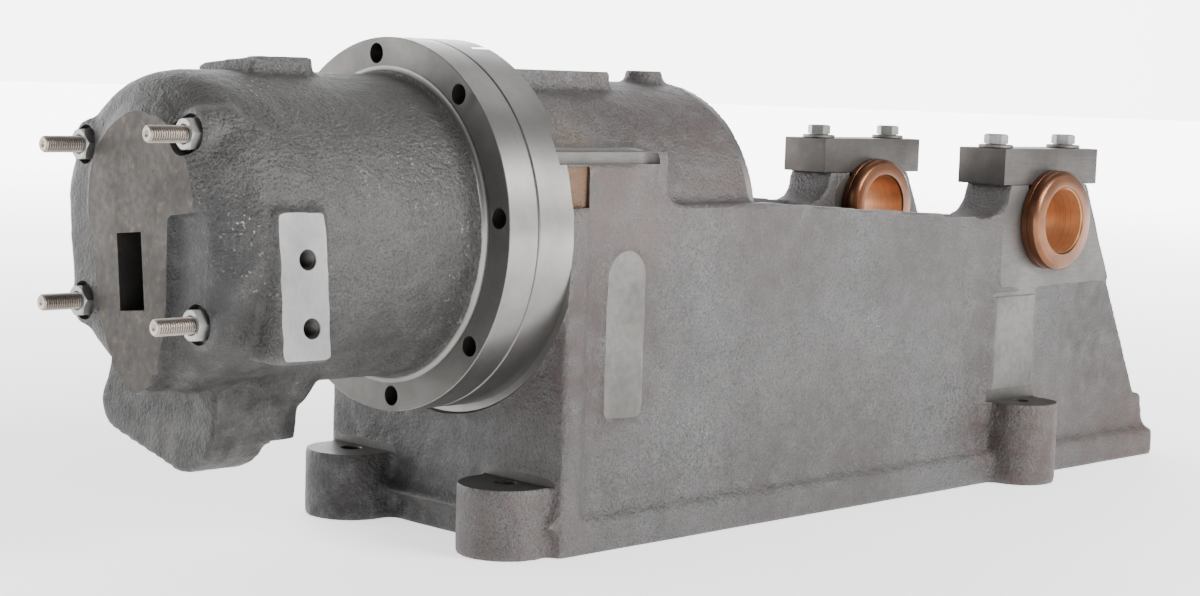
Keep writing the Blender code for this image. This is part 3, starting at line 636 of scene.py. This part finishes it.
def shade(mesh, angle=math.radians(35)):
    """Smooth shading, with sharp edges at folds and where one finish meets another."""
    mesh.shade_smooth()
    mesh.set_sharp_from_angle(angle=angle)
    bm = bmesh.new()
    bm.from_mesh(mesh)
    for edge in bm.edges:
        faces = edge.link_faces
        if len(faces) == 2 and faces[0].material_index != faces[1].material_index:
            edge.smooth = False
    bm.to_mesh(mesh)
    bm.free()


def bolt_circle(angles):
    """Centres (y, z) on the flange's bolt circle."""
    return [(-FLANGE_PCD_R * math.sin(a), FLANGE_PCD_R * math.cos(a)) for a in angles]


FLANGE_HOLES = bolt_circle([2 * math.pi * i / FLANGE_BOLTS for i in range(FLANGE_BOLTS)])
DOWEL_HOLES = bolt_circle(DOWEL_ANGLES)


def hole(axis, centre, radius, start, mouth, place=MACHINE, lip=0.001):
    """Drill with a small countersink at its mouth, running on past it."""
    way = 1 if mouth > start else -1
    wide = radius + lip * 1.1
    end = mouth + way * 0.02
    return revolve([(0, start), (radius, start), (radius, mouth - way * lip),
                    (wide, mouth + way * 0.0001), (wide, end), (0, end)], axis, centre,
                   place, 40)


def frame_stock():
    """What the CAD solid lacks as a rough casting: stock, hole plugs and fillets."""
    boss = (TOP_BOSS_X, 0)
    stock = [
        sleeve(0.0900, 0.1525, 0.0290, 0.0640),
        sleeve(0.0925, 0.0990, 0.0600, 0.3000),
        sleeve(0.0925, 0.1190, 0.2900, 0.3185),
        box((END_WALL_X, FRAME_END_X), (-BASE_Y, BASE_Y), (BASE_STOCK_Z, 0.006)),
        box((0.062, 0.212), (-0.0395, 0.0395), (0.35, 0.3858)),
        rod("Z", 0.3640, 0.3880, 0.0170, boss),
        rod("Z", 0.3640, 0.3760, 0.0240, boss, end_radius=0.0165),
        revolve(cove((BARREL_R, 0.0690), 0.018, 0.018)),
        prism(cove((0.0880, 0.0180), 0.030, 0.030), (-0.123, 0.123)),
        prism(cove((END_WALL_X, BASE_T), -0.012, 0.018), (-0.145, 0.145)),
    ]
    stock += frame_side_stock(-1) + frame_side_stock(1)
    stock += rods("X", 0.030, 0.062, TAPPED_R + PLUG, FLANGE_HOLES)
    stock += rods("X", 0.030, 0.055, DOWEL_R + PLUG, DOWEL_HOLES)
    return stock


def frame_side_stock(sign):
    """Foot bosses, pedestal, facings, top corner and fillets on one side, and its plugs."""
    fx, fy, fh = FRONT_FOOT
    rx, ry, rh = REAR_FOOT
    front, rear = (fx, sign * fy), (rx, sign * ry)
    rear_half = 0.0365
    base_cove = [(sign * y, z) for y, z in cove((WALL_Y, BASE_T), 0.0060, 0.022)]
    front_cove = [(x, sign * y)
                  for x, y in cove((0.0880, WALL_Y), 0.024, BASE_Y - WALL_Y)]
    pedestal = [(0.6735, 0.1900), (0.8460, 0.1900), (0.7980, 0.2880), (0.6670, 0.2880),
                (0.6640, 0.2700), (0.6585, 0.2580), (0.6585, 0.1915)]
    round_top = arc((0.1395, 0.2205), 0.0195, 0, 180, 13)
    round_top += [(0.1200, 0.1085), (0.1590, 0.1085)]
    cap_bolts = [(x, sign * PEDESTAL_MID) for x in CAP_BOLT_X]
    return [
        prism(base_cove, (0.070, 0.930), "YZ"),
        prism(front_cove, (0.010, 0.272), "XY"),
        rod("Z", BASE_STOCK_Z, fh + FACE_STOCK, 0.0385, front),
        rod("Z", BASE_STOCK_Z, rh + FACE_STOCK, rear_half, rear),
        box((rx - rear_half, rx + rear_half), side(sign, 0.130, ry),
            (BASE_STOCK_Z, rh + FACE_STOCK)),
        box((0.694, 0.776), side(sign, 0.0860, 0.1380), (0.205, 0.2885)),
        box((0.6675, 0.7975), side(sign, 0.0860, 0.1380), (0.270, 0.2902)),
        rod("Y", *side(sign, 0.0825, 0.0950), 0.0590, (BEARING_X, BEARING_Z - 0.012)),
        prism(pedestal, side(sign, 0.1360, 0.1425)),
        prism(round_top, side(sign, 0.1340, 0.1412)),
        box((0.6450, 0.7160), side(sign, 0.1320, 0.1408), (0.060, 0.1830)),
        box((0.0690, 0.1670), side(sign, 0.1100, 0.1385), (0.270, 0.3128)),
        box((0.0690, 0.1815), side(sign, 0.1010, 0.1262), (0.270, 0.3212)),
        box((0.1550, 0.1900), side(sign, 0.1040, 0.1365), (0.262, 0.3212), edge=0.004),
        prism(cove((0.1880, SHOULDER_Z), 0.020, 0.022), side(sign, 0.106, 0.1355)),
        rod("Z", -0.002, fh, FOOT_HOLE_R + PLUG, front, steps=16),
        rod("Z", -0.002, rh, FOOT_HOLE_R + PLUG, rear, steps=16),
    ] + rods("Z", 0.232, 0.286, CAP_BOLT_R + PLUG, cap_bolts, place=MACHINE)


def frame_cutters():
    """Every cut on the frame casting, with the finish that it leaves."""
    fh = FRONT_FOOT[2]
    rx, ry, rh = REAR_FOOT
    slot_half = BUSH_BODY_R + TINY
    far_x, far_y, far_z = (0.0, 1.1), 0.3, (-0.1, 0.5)       # well past the casting
    lathe = revolve([
        (0, 0.0200), (0.1700, 0.0200), (0.1700, 0.0500), (0.1560, 0.0680),
        (FLANGE_R, 0.0680), (FLANGE_R, 0.0321), (0.1492, FRAME_FLANGE_X),
        (0.1133, FRAME_FLANGE_X), (0.1123, 0.0323), (0.1123, 0.0390),
        (GUIDE_BORE_R + 0.0010, 0.0390), (GUIDE_BORE_R, 0.0400),
        (GUIDE_BORE_R, 0.3135), (GUIDE_BORE_R + 0.0025, BARREL_END),
        (0.1180, BARREL_END), (0.1205, 0.3180), (0.1205, 0.3400), (0, 0.3400)])
    rear_edge = revolve([(0.1192, 0.3075), (0.1300, 0.3060), (0.1300, 0.3300),
                         (0.1192, 0.3300)], centre=(0.0012, 0.0010))
    end_mill = [(0.060, 0.152), (0.060, 0.125), (0.162, 0.125)]
    end_mill += arc((0.162, 0.139), 0.014, -90, 0, 10) + [(0.176, 0.152)]

    def boxes(x, y, z):
        """The same box on both sides, with y as distances off the centre plane."""
        return both(lambda s: box(x, side(s, *y), z))

    drills = []
    for x, y, height in (FRONT_FOOT, REAR_FOOT):
        drills += both(lambda s: hole("Z", (x, s * y), FOOT_HOLE_R, -0.02, height))
    for x in CAP_BOLT_X:
        drills += both(lambda s: rod("Z", 0.235, 0.31, CAP_BOLT_R + TINY,
                                     (x, s * PEDESTAL_MID)))
    drills += rods("X", 0.020, 0.060, TAPPED_R, FLANGE_HOLES, 24)
    drills += rods("X", 0.020, 0.0505, DOWEL_R, DOWEL_HOLES, 24)
    return [
        ([lathe], "turned_iron"),
        ([rear_edge], "turned_iron"),
        # Under the base, the outer sides and the rear end.
        ([box((-0.1, 1.1), (-far_y, far_y), (-0.05, 0.0))], "milled_iron"),
        (boxes(far_x, (ry + REAR_FOOT_R, far_y), far_z)
         + [box((FRAME_END_X, 1.1), (-far_y, far_y), far_z)], "frame_cast"),
        # Foot bosses, then the facings on the walls.
        (boxes((0.0, END_WALL_X - 0.001), (0.055, 0.142), (fh, fh + 0.012)),
         "spot_faced_iron"),
        (boxes((rx - 0.042, rx + 0.042), (0.1386, 0.195), (rh, rh + 0.012)),
         "spot_faced_iron"),
        (boxes(BOLT_FACING_X, (0.1386, 0.165), (rh - 0.0002, 0.1795)), "facing_iron"),
        (boxes((0.640, 0.860), (PAD_Y, 0.165), (0.180, 0.300)), "milled_iron"),
        (boxes((0.110, 0.170), (PAD_Y - 0.0001, 0.165), (0.100, 0.250)), "facing_iron"),
        # Pedestals: the top, the inner face, and the open slot that holds the bush.
        (boxes(CAP_X, (0.075, 0.150), (PEDESTAL_TOP, 0.310)), "milled_iron"),
        (both(lambda s: rod("Y", *side(s, 0.058, PEDESTAL_Y[0]), BEARING_FACE_R, BEARING)),
         "turned_iron"),
        (both(lambda s: rod("Y", *side(s, 0.070, 0.160), slot_half, BEARING, steps=96)),
         "turned_iron"),
        (boxes((BEARING_X - slot_half, BEARING_X + slot_half), (0.070, 0.160),
               (BEARING_Z, 0.31)), "milled_iron"),
        # The corners over the shoulders, then the rail and the boss on the centre line.
        (both(lambda s: prism([(x, s * y) for x, y in end_mill], (0.311, 0.335), "XY")),
         "milled_iron"),
        (boxes((0.060, 0.200), (0.1022, 0.150), (0.3200, 0.335)), "milled_iron"),
        (boxes((0.0690, 0.0940), (0.1362, 0.155), (0.2770, 0.3095)), "rusty_cast"),
        ([box((0.05, 0.2600), (-0.046, 0.046), (RAIL_TOP_Z, 0.40)),
          box((0.2610, 0.33), (-0.046, 0.046), (BOSS_TOP_Z, 0.40))], "milled_iron"),
        (drills, "spot_faced_iron"),
    ]


def housing_stock():
    """Stock, plugs and fillets of the housing casting, in the housing's own frame."""
    bed_x = -0.215                       # inside the end wall
    half_rib = [(-0.0490, 0.020), (-0.0490, 0.0), (-0.0440, -0.050), (-0.0370, -0.077),
                (-0.0260, -0.102)]
    rib = half_rib + arc((0, -0.094), 0.0235, 205, 335, 9) \
        + [(-y, z) for y, z in reversed(half_rib)]
    end_discs = ((0.0660, -0.2402, -8, 188), (0.0705, -0.2383, 112, 186),
                 (0.0700, -0.2366, -8, 188), (0.0750, -0.2338, -4, 184))
    stock = [
        sleeve(0.1000, 0.1525, -0.0020, 0.0325, HOUSING),
        sleeve(0.1030, 0.1100, -0.1950, 0.0400, HOUSING),
        sleeve(0.1030, 0.1140, 0.0200, 0.0400, HOUSING),
        revolve(cove((0.1195, 0.0), 0.009, -0.010), place=HOUSING),
        box((-0.2370, -0.2110), (-0.0175, 0.0175), (-0.059, 0.002), HOUSING),
        prism(rib, (-0.2402, bed_x), "YZ", HOUSING),
        box((-0.1985, -0.1530), (-0.1266, -0.100), (-0.0985, 0.0110), HOUSING, edge=0.0045),
        rod("Z", BOSS_FACE_Z - FACE_STOCK, -0.118, 0.0300, (BOSS_X, 0), HOUSING, 0.0350),
        rod("Z", -0.134, -0.110, 0.0330, (BOSS_X + 0.006, 0), HOUSING, 0.0500),
        rod("Z", BOSS_FACE_Z - FACE_STOCK, -0.130, 0.0120, (BOSS_X, 0), HOUSING),
    ]
    stock += [prism(arc(END_DISC, radius, first, last, 32), (reach, bed_x), "YZ",
                    HOUSING) for radius, reach, first, last in end_discs]
    stock += [rod("X", -0.2300, -0.2000, 0.0190, yz, HOUSING, 0.0235, 32)
              for yz in SCREWS.values()]
    stock += rods("X", -0.001, 0.031, FLANGE_HOLE_R + PLUG, FLANGE_HOLES)
    stock += rods("X", 0.009, 0.031, DOWEL_R + PLUG, DOWEL_HOLES)
    return stock


def housing_cutters():
    """Every cut on the housing casting, with the finish that it leaves."""
    screws = SCREWS.values()
    bore_x = 0.0380
    relief_r = HOUSING_BORE_R + 0.001
    out_x = -0.26                        # well ahead of the dome
    outside = revolve([
        (0.1225, -0.0120), (0.1225, -0.0045), (0.1232, -0.0018), (0.1248, -0.0004),
        (0.1265, 0.0), (0.1490, 0.0), (FLANGE_R, 0.0010), (FLANGE_R, 0.0293),
        (0.1492, HOUSING_FLANGE_T), (SPIGOT_R, HOUSING_FLANGE_T), (SPIGOT_R, 0.0372),
        (0.1112, bore_x), (0, bore_x), (0, 0.060), (0.170, 0.060), (0.170, -0.012)],
        place=HOUSING)
    bore = revolve([(0, -0.210), (0.096, -0.210), (HOUSING_BORE_R, -0.200),
                    (HOUSING_BORE_R, 0.0370), (relief_r, bore_x), (relief_r, 0.0500),
                    (0, 0.0500)], place=HOUSING)
    boss_face = [(BOSS_X + x, y) for x, y in arc((0, 0), BOSS_FACE_R, -100, 100, 24)]
    flares = [revolve([(0, out_x), (0.0156, out_x), (0.0154, -0.2380), (0.0148, -0.2300),
                       (0.0142, -0.2262), (0, -0.2262)], "X", yz, HOUSING, 48)
              for yz in screws]
    drills = rods("X", out_x, -0.19, SCREW_R + TINY, screws, 48)
    drills += [hole("X", yz, FLANGE_HOLE_R, 0.05, 0.0, HOUSING, lip=0.0007)
               for yz in FLANGE_HOLES]
    drills += rods("X", 0.010, 0.05, DOWEL_R, DOWEL_HOLES, 24)
    drills.append(rod("Z", -0.180, -0.135, 0.010, (BOSS_X, 0), HOUSING))
    drills += [threaded_hole(xz) for xz in TAPPED_PAD]
    pocket = prism([(0.004, -0.020), (0.004, 0.020)]
                   + arc((0.0125, 0.020), 0.0085, 180, 0, 9)[1:]
                   + [(0.021, -0.020)] + arc((0.0125, -0.020), 0.0085, 0, -180, 9)[1:-1],
                   (0.1455, 0.170), "XY", HOUSING)
    return [
        ([outside], "turned_iron"),
        ([bore], "turned_iron"),
        ([sleeve(0.1270, 0.1495, -0.0100, 0.0005, HOUSING)], "faced_iron"),
        ([box((out_x, DOME_END_X), (-0.2, 0.2), (-0.2, 0.2), HOUSING)], "end_face_iron"),
        ([box((-0.215, -0.135), (-0.150, PAD_FACE_Y), (-0.11, 0.022), HOUSING)], "pad_iron"),
        ([prism(boss_face, (-0.250, BOSS_FACE_Z), "XY", HOUSING)], "turned_iron"),
        ([box((-0.155, -0.080), (-0.045, 0.045), (TOP_PAD_Z, 0.150), HOUSING)], "milled_iron"),
        ([box((out_x, -0.19), *END_SLOT, HOUSING)],
         "spot_faced_iron"),
        (flares, "housing_cast"),
        (rods("X", out_x, SEAT_X, SEAT_R, screws, 48), "spot_faced_iron"),
        (drills, "spot_faced_iron"),
        ([pocket], "milled_iron"),
    ]


def threaded_hole(xz):
    """Tapped hole in the side pad: a drill whose wall steps in and out like a thread."""
    radius, depth, pitch = 0.0068, 0.019, 0.0020
    wide = radius + 0.0010
    out = PAD_FACE_Y - 0.01
    profile = [(0, PAD_FACE_Y + depth), (radius * 0.85, PAD_FACE_Y + depth)]
    for i in range(int(depth / pitch) - 1, 0, -1):
        y = PAD_FACE_Y + i * pitch
        profile += [(radius * 0.86, y + pitch * 0.25), (radius, y - pitch * 0.25)]
    profile += [(radius, PAD_FACE_Y + 0.0008), (wide, PAD_FACE_Y - 0.0002), (wide, out),
                (0, out)]
    return revolve(profile, "Y", xz, HOUSING, 32)


def build_castings():
    """The two castings. The lumps of a sand-cast skin are (noise scale, height)."""
    base = raw_casting("frame_casting", "base_frame", frame_stock(), 0.0036,
                       ((24, 0.0006), (90, 0.0003), (230, 0.00016)))
    machine(base, FRAME_FINISHES, frame_cutters())
    finish(base, "frame", "frame_iron", "base_frame")
    housing = raw_casting("housing_casting", "cylinder_housing", housing_stock(), 0.0028,
                          ((28, 0.0007), (95, 0.00035), (240, 0.00018)))
    machine(housing, HOUSING_FINISHES, housing_cutters())
    finish(housing, "frame", "housing_iron", "cylinder_housing")


def finish(obj, body, slot, *nodes):
    """Puts a piece on its CAD body, in place of its CAD nodes. The slot is not used."""
    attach(obj, body)
    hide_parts(*nodes)


# --- Turned and cut pieces -----------------------------------------------------------------
def carved(name, material, start, *steps):
    """A piece from a closed mesh and boolean steps of (operation, mesh)."""
    obj = added(name, start)
    bake(obj, [boolean(obj, operation, mesh) for operation, mesh in steps])
    obj.data.materials.clear()
    obj.data.materials.append(MATERIALS[material])
    shade(obj.data, math.radians(28))
    return obj


def thread_radius(station, angle):
    """Outside of the screw thread, with flats at crest and root."""
    flat, flank = 0.09, 0.30             # parts of the pitch
    turn = (station / SCREW_PITCH - angle / (2 * math.pi)) % 1.0
    slope = min(1.0, max(0.0, (abs(turn - 0.5) - flat) / flank))
    return SCREW_R - SCREW_THREAD * slope


def screw_mesh(spot):
    """Adjusting screw: thread, chamfered tip with a centre drilled in it, plain tail."""
    around_count = 40
    root = SCREW_R - SCREW_THREAD
    tail_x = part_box("thrust_plate")[0].x - X_ORIGIN - TINY
    step = SCREW_PITCH / 10
    chamfer = 0.0012
    bm = bmesh.new()
    angles = [2 * math.pi * i / around_count for i in range(around_count)]

    def ring(station, radius_at):
        return [bm.verts.new((radius_at(a) * math.cos(a), radius_at(a) * math.sin(a),
                              station)) for a in angles]

    rings = [ring(SCREW_TIP_X + 0.0002, lambda a: 0.0026)]
    for i in range(int((SCREW_THREAD_END_X - SCREW_TIP_X) / step)):
        x = SCREW_TIP_X + step * i
        limit = SCREW_R - chamfer + (x - SCREW_TIP_X)
        rings.append(ring(x, lambda a: min(limit, thread_radius(x, a))))
    rings += [ring(SCREW_THREAD_END_X + 0.0004, lambda a: root),
              ring(tail_x - 0.001, lambda a: root), ring(tail_x, lambda a: root - 0.001)]
    for first, second in zip(rings, rings[1:]):
        for i in range(around_count):
            j = (i + 1) % around_count
            bm.faces.new((first[i], first[j], second[j], second[i]))
    centre = bm.verts.new((0, 0, SCREW_TIP_X + 0.0028))
    for i in range(around_count):
        bm.faces.new((centre, rings[0][(i + 1) % around_count], rings[0][i]))
    bm.faces.new(rings[-1])
    return shape(bm, HOUSING @ at("X", spot))


def nut_mesh_and_cuts(spot):
    """A hexagon, the turned shape that rounds its corners, and its bore."""
    seat = SEAT_X - TINY
    top = seat - NUT_T
    corner = NUT_AF / math.sqrt(3)
    bore, mouth = SCREW_R + TINY, SCREW_R + TINY + 0.001
    past = 0.01

    def turn(profile, steps):
        return revolve(profile, "X", spot, HOUSING, steps)

    hexagon = turn([(0, top), (corner, top), (corner, seat), (0, seat)], 6)
    rounded = turn([(0, top), (0.0108, top), (corner, top + 0.0016),
                    (corner, seat - 0.0008), (0.0114, seat), (0, seat)], 64)
    drill = turn([(0, top - past), (mouth, top - past), (mouth, top - 0.0001),
                  (bore, top + 0.001), (bore, seat - 0.001), (mouth, seat + 0.0001),
                  (mouth, seat + past), (0, seat + past)], 48)
    return hexagon, ("INTERSECT", rounded), ("DIFFERENCE", drill)


def build_screws():
    """The four adjusting screws and their jam nuts."""
    for name, spot in SCREWS.items():
        screw = carved(f"screw_{name}", "stud_steel", screw_mesh(spot))
        finish(screw, f"adjusting_screw_{name}", "stud_steel", f"adjusting_screw_{name}")
        nut = carved(f"nut_{name}", "nut_steel", *nut_mesh_and_cuts(spot))
        finish(nut, f"jam_nut_{name}", "nut_steel", f"jam_nut_{name}")


def dowel_hole(tag, sign):
    """Drill for the dowel between a cap and its bush, which keeps the bush from turning."""
    low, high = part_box(f"bush_dowel_{tag}")
    return "DIFFERENCE", rod("Z", low.z - TINY, high.z + TINY, (high.x - low.x) / 2 + TINY,
                             (BEARING_X, sign * PEDESTAL_MID), steps=24)


def build_cap(tag, sign):
    """Bearing cap: a steel block with half the bush's bore and two bolt holes."""
    bolt_holes = [("DIFFERENCE", hole("Z", (x, sign * PEDESTAL_MID), CAP_BOLT_R + TINY, 0.27,
                                      CAP_Z[1], lip=0.0005)) for x in CAP_BOLT_X]
    bore = ("DIFFERENCE", rod("Y", -0.2, 0.2, BUSH_BODY_R + TINY, BEARING, steps=96))
    block = box(CAP_X, side(sign, *PEDESTAL_Y), CAP_Z, edge=0.0005)
    cap = carved(f"cap_{tag}", "cap_steel", block, bore, dowel_hole(tag, sign), *bolt_holes)
    finish(cap, "frame", "cap_steel", f"bearing_cap_{tag}")


def build_bush(tag, sign):
    """Bush with a flange at both ends, with a groove in the rim, and a chamfered bore."""
    seat = PEDESTAL_Y[1] + TINY          # under the outer flange
    face = seat + BUSH_FLANGE_T
    groove_r = BUSH_FLANGE_R - 0.0009
    flange = [
        (BUSH_BORE_R + 0.0018, face), (BUSH_FLANGE_R - 0.0042, face),
        (BUSH_FLANGE_R - 0.0036, face - 0.0003), (BUSH_FLANGE_R - 0.0003, face - 0.0030),
        (BUSH_FLANGE_R, face - 0.0036), (BUSH_FLANGE_R, seat + 0.0074),
        (groove_r, seat + 0.0070), (groove_r, seat + 0.0064),
        (BUSH_FLANGE_R, seat + 0.0060), (BUSH_FLANGE_R, seat + 0.0005),
        (BUSH_FLANGE_R - 0.0005, seat), (BUSH_BODY_R, seat)]
    inner_seat = PEDESTAL_Y[0] - TINY
    profile = flange + [(r, seat + inner_seat - y) for r, y in reversed(flange)]
    profile += [(BUSH_BORE_R, inner_seat - BUSH_FLANGE_T + 0.0018),
                (BUSH_BORE_R, face - 0.0018)]
    ring = revolve([(r, sign * y) for r, y in profile], "Y", BEARING, MACHINE)
    bush = carved(f"bush_{tag}", "bronze", ring, dowel_hole(tag, sign))
    finish(bush, "frame", "bronze", f"bearing_bush_{tag}")


def build_bearings():
    """A cap, a bush and two bolts with washers on each pedestal."""
    for tag, sign in (("near", -1), ("far", 1)):
        build_cap(tag, sign)
        build_bush(tag, sign)
        for end, x in zip(("front", "rear"), CAP_BOLT_X):
            build_cap_bolt(f"{tag}_{end}", (x, sign * PEDESTAL_MID))


def build_cap_bolt(name, spot):
    """Hexagon bolt with a chamfered head and washer face, on a plain washer."""
    def turn(profile, steps=64):
        return revolve(profile, "Z", spot, MACHINE, steps)

    low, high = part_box(f"cap_washer_{name}")
    washer_r = (high.x - low.x) / 2
    seat, top = CAP_Z[1] + TINY, high.z
    inside = CAP_BOLT_R + TINY
    washer = carved(f"washer_{name}", "washer_steel",
                    turn([(inside, seat), (washer_r - 0.0004, seat),
                          (washer_r, seat + 0.0005), (washer_r, top - 0.0007),
                          (washer_r - 0.0007, top), (inside + 0.0003, top),
                          (inside, top - 0.0003)]))
    finish(washer, "frame", "washer_steel", f"cap_washer_{name}")
    low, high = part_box(f"cap_bolt_{name}")
    corner = (high.x - low.x) / 2
    flat = corner * math.cos(math.pi / 6)
    face_r = flat - 0.0004
    head_low = top + TINY
    hexagon = turn([(0, head_low + 0.0006), (corner, head_low + 0.0006),
                    (corner, high.z), (0, high.z)], 6)
    rounded = turn([(0, head_low), (corner, head_low), (corner, high.z - 0.0013),
                    (flat - 0.0006, high.z), (0, high.z)])
    shank = turn([(0, low.z), (CAP_BOLT_R - 0.0012, low.z), (CAP_BOLT_R, low.z + 0.0012),
                  (CAP_BOLT_R, head_low - 0.0002), (face_r, head_low),
                  (face_r, head_low + 0.0030), (0, head_low + 0.0030)])
    bolt = carved(f"bolt_{name}", "bolt_steel", hexagon, ("INTERSECT", rounded),
                  ("UNION", shank))
    finish(bolt, "frame", "bolt_steel", f"cap_bolt_{name}")


def dress_hidden_nodes():
    """CAD nodes whose shape is right keep it and get a material."""
    finishes = {"flange_gasket": "gasket_paper", "cylinder_liner": "ground_steel",
                "thrust_plate": "crosshead_iron", "crosshead": "crosshead_iron",
                "crosshead_band_front": "band_bronze", "crosshead_band_rear": "band_bronze",
                "wrist_pin": "ground_steel", "flange_dowel_upper": "ground_steel",
                "flange_dowel_lower": "ground_steel", "bush_dowel_near": "ground_steel",
                "bush_dowel_far": "ground_steel"}
    for node, material in finishes.items():
        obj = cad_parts[node]
        for slot in obj.material_slots:
            slot.link = "OBJECT"
            slot.material = MATERIALS[material]


build_castings()
build_screws()
build_bearings()
dress_hidden_nodes()


# --- Camera, floor and light ---------------------------------------------------------------
def build_camera():
    """The camera stands ahead of the dome on the near side, a little above the barrel."""
    turn, dip, lean = 0.7854, 0.1008, 0.034                  # radians
    place = (-1.47075, -1.3816, 0.38265)
    ahead = Vector((math.sin(turn) * math.cos(dip), math.cos(turn) * math.cos(dip),
                    -math.sin(dip)))
    level = Vector((math.cos(turn), -math.sin(turn), 0))
    upright = level.cross(ahead)
    right = math.cos(lean) * level + math.sin(lean) * upright
    up = -math.sin(lean) * level + math.cos(lean) * upright
    data = bpy.data.cameras.new("camera")
    data.lens = 66.62
    data.sensor_width = 36.0
    camera = added("camera", data)
    axes = Matrix((right, up, -ahead)).transposed()
    camera.matrix_world = Matrix.Translation(place) @ axes.to_4x4()
    bpy.context.scene.camera = camera


def build_floor():
    """A pale floor that glows a little, and more towards the horizon."""
    s = Shader("pale_floor", 0.0, 0.7)
    clouds = s.span(s.noise(3.0, 5, 0.6), 0.35, 0.65)
    s.set("Base Color", s.mix(clouds, (0.84, 0.84, 0.845), (0.90, 0.90, 0.905)))
    s.surface.inputs["Emission Color"].default_value = (1, 1, 1, 1)
    far = s.add("VectorMath", {0: s.place}, operation="LENGTH").outputs["Value"]
    s.set("Emission Strength", s.span(far, 0.5, 6.0, 1.3, 7.0))
    s.set("Normal", s.bump(s.noise(60, 4, 0.6), 0.001, 0.15))
    bm = bmesh.new()
    bmesh.ops.create_circle(bm, cap_ends=True, segments=96, radius=30.0)
    mesh = bpy.data.meshes.new("floor")
    bm.to_mesh(mesh)
    bm.free()
    mesh.materials.append(s.material)
    floor = added("floor", mesh)
    floor.location.z = -TINY


def area_light(name, spot, target, size, power):
    """A rectangular light at spot, turned to the target."""
    data = bpy.data.lights.new(name, "AREA")
    data.shape = "RECTANGLE"
    data.size, data.size_y = size
    data.energy = power
    light = added(name, data)
    light.location = spot
    aim = Vector(target) - Vector(spot)
    light.rotation_euler = aim.to_track_quat("-Z", "Y").to_euler()


def build_light():
    """A white studio: bright behind the object, dimmer behind the camera, to the left and
    overhead. Three lamps add soft glints."""
    world = bpy.data.worlds.new("studio")
    world.use_nodes = True
    nodes = Nodes(world.node_tree)
    way = nodes.add("SeparateXYZ", {0: nodes.add("TexCoord").outputs["Generated"]})
    strength = 1.0
    for axis, low, high, dim, bright in (("Y", 0.00, 0.60, 0.85, 6.60),
                                         ("X", -1.00, -0.35, 0.35, 1.00),
                                         ("Z", 0.75, 0.12, 0.20, 1.00)):
        ramp = nodes.add("MapRange", {"Value": way.outputs[axis], "From Min": low,
                                      "From Max": high, "To Min": dim, "To Max": bright},
                         interpolation_type="SMOOTHSTEP")
        strength = nodes.times(strength, ramp.outputs["Result"])
    sky = nodes.tree.nodes["Background"]
    sky.inputs["Color"].default_value = (0.98, 0.99, 1.0, 1.0)
    nodes.tree.links.new(strength, sky.inputs["Strength"])
    bpy.context.scene.world = world
    area_light("key", (0.8, -2.6, 1.5), (0.1, 0, 0.2), (1.8, 1.2), 165)
    area_light("top", (1.2, 0.0, 2.4), (0.2, 0, 0.2), (1.2, 1.6), 8)
    area_light("front", (-2.6, -0.6, 0.9), (-0.2, 0, 0.2), (1.6, 1.2), 5)


build_camera()
build_floor()
build_light()
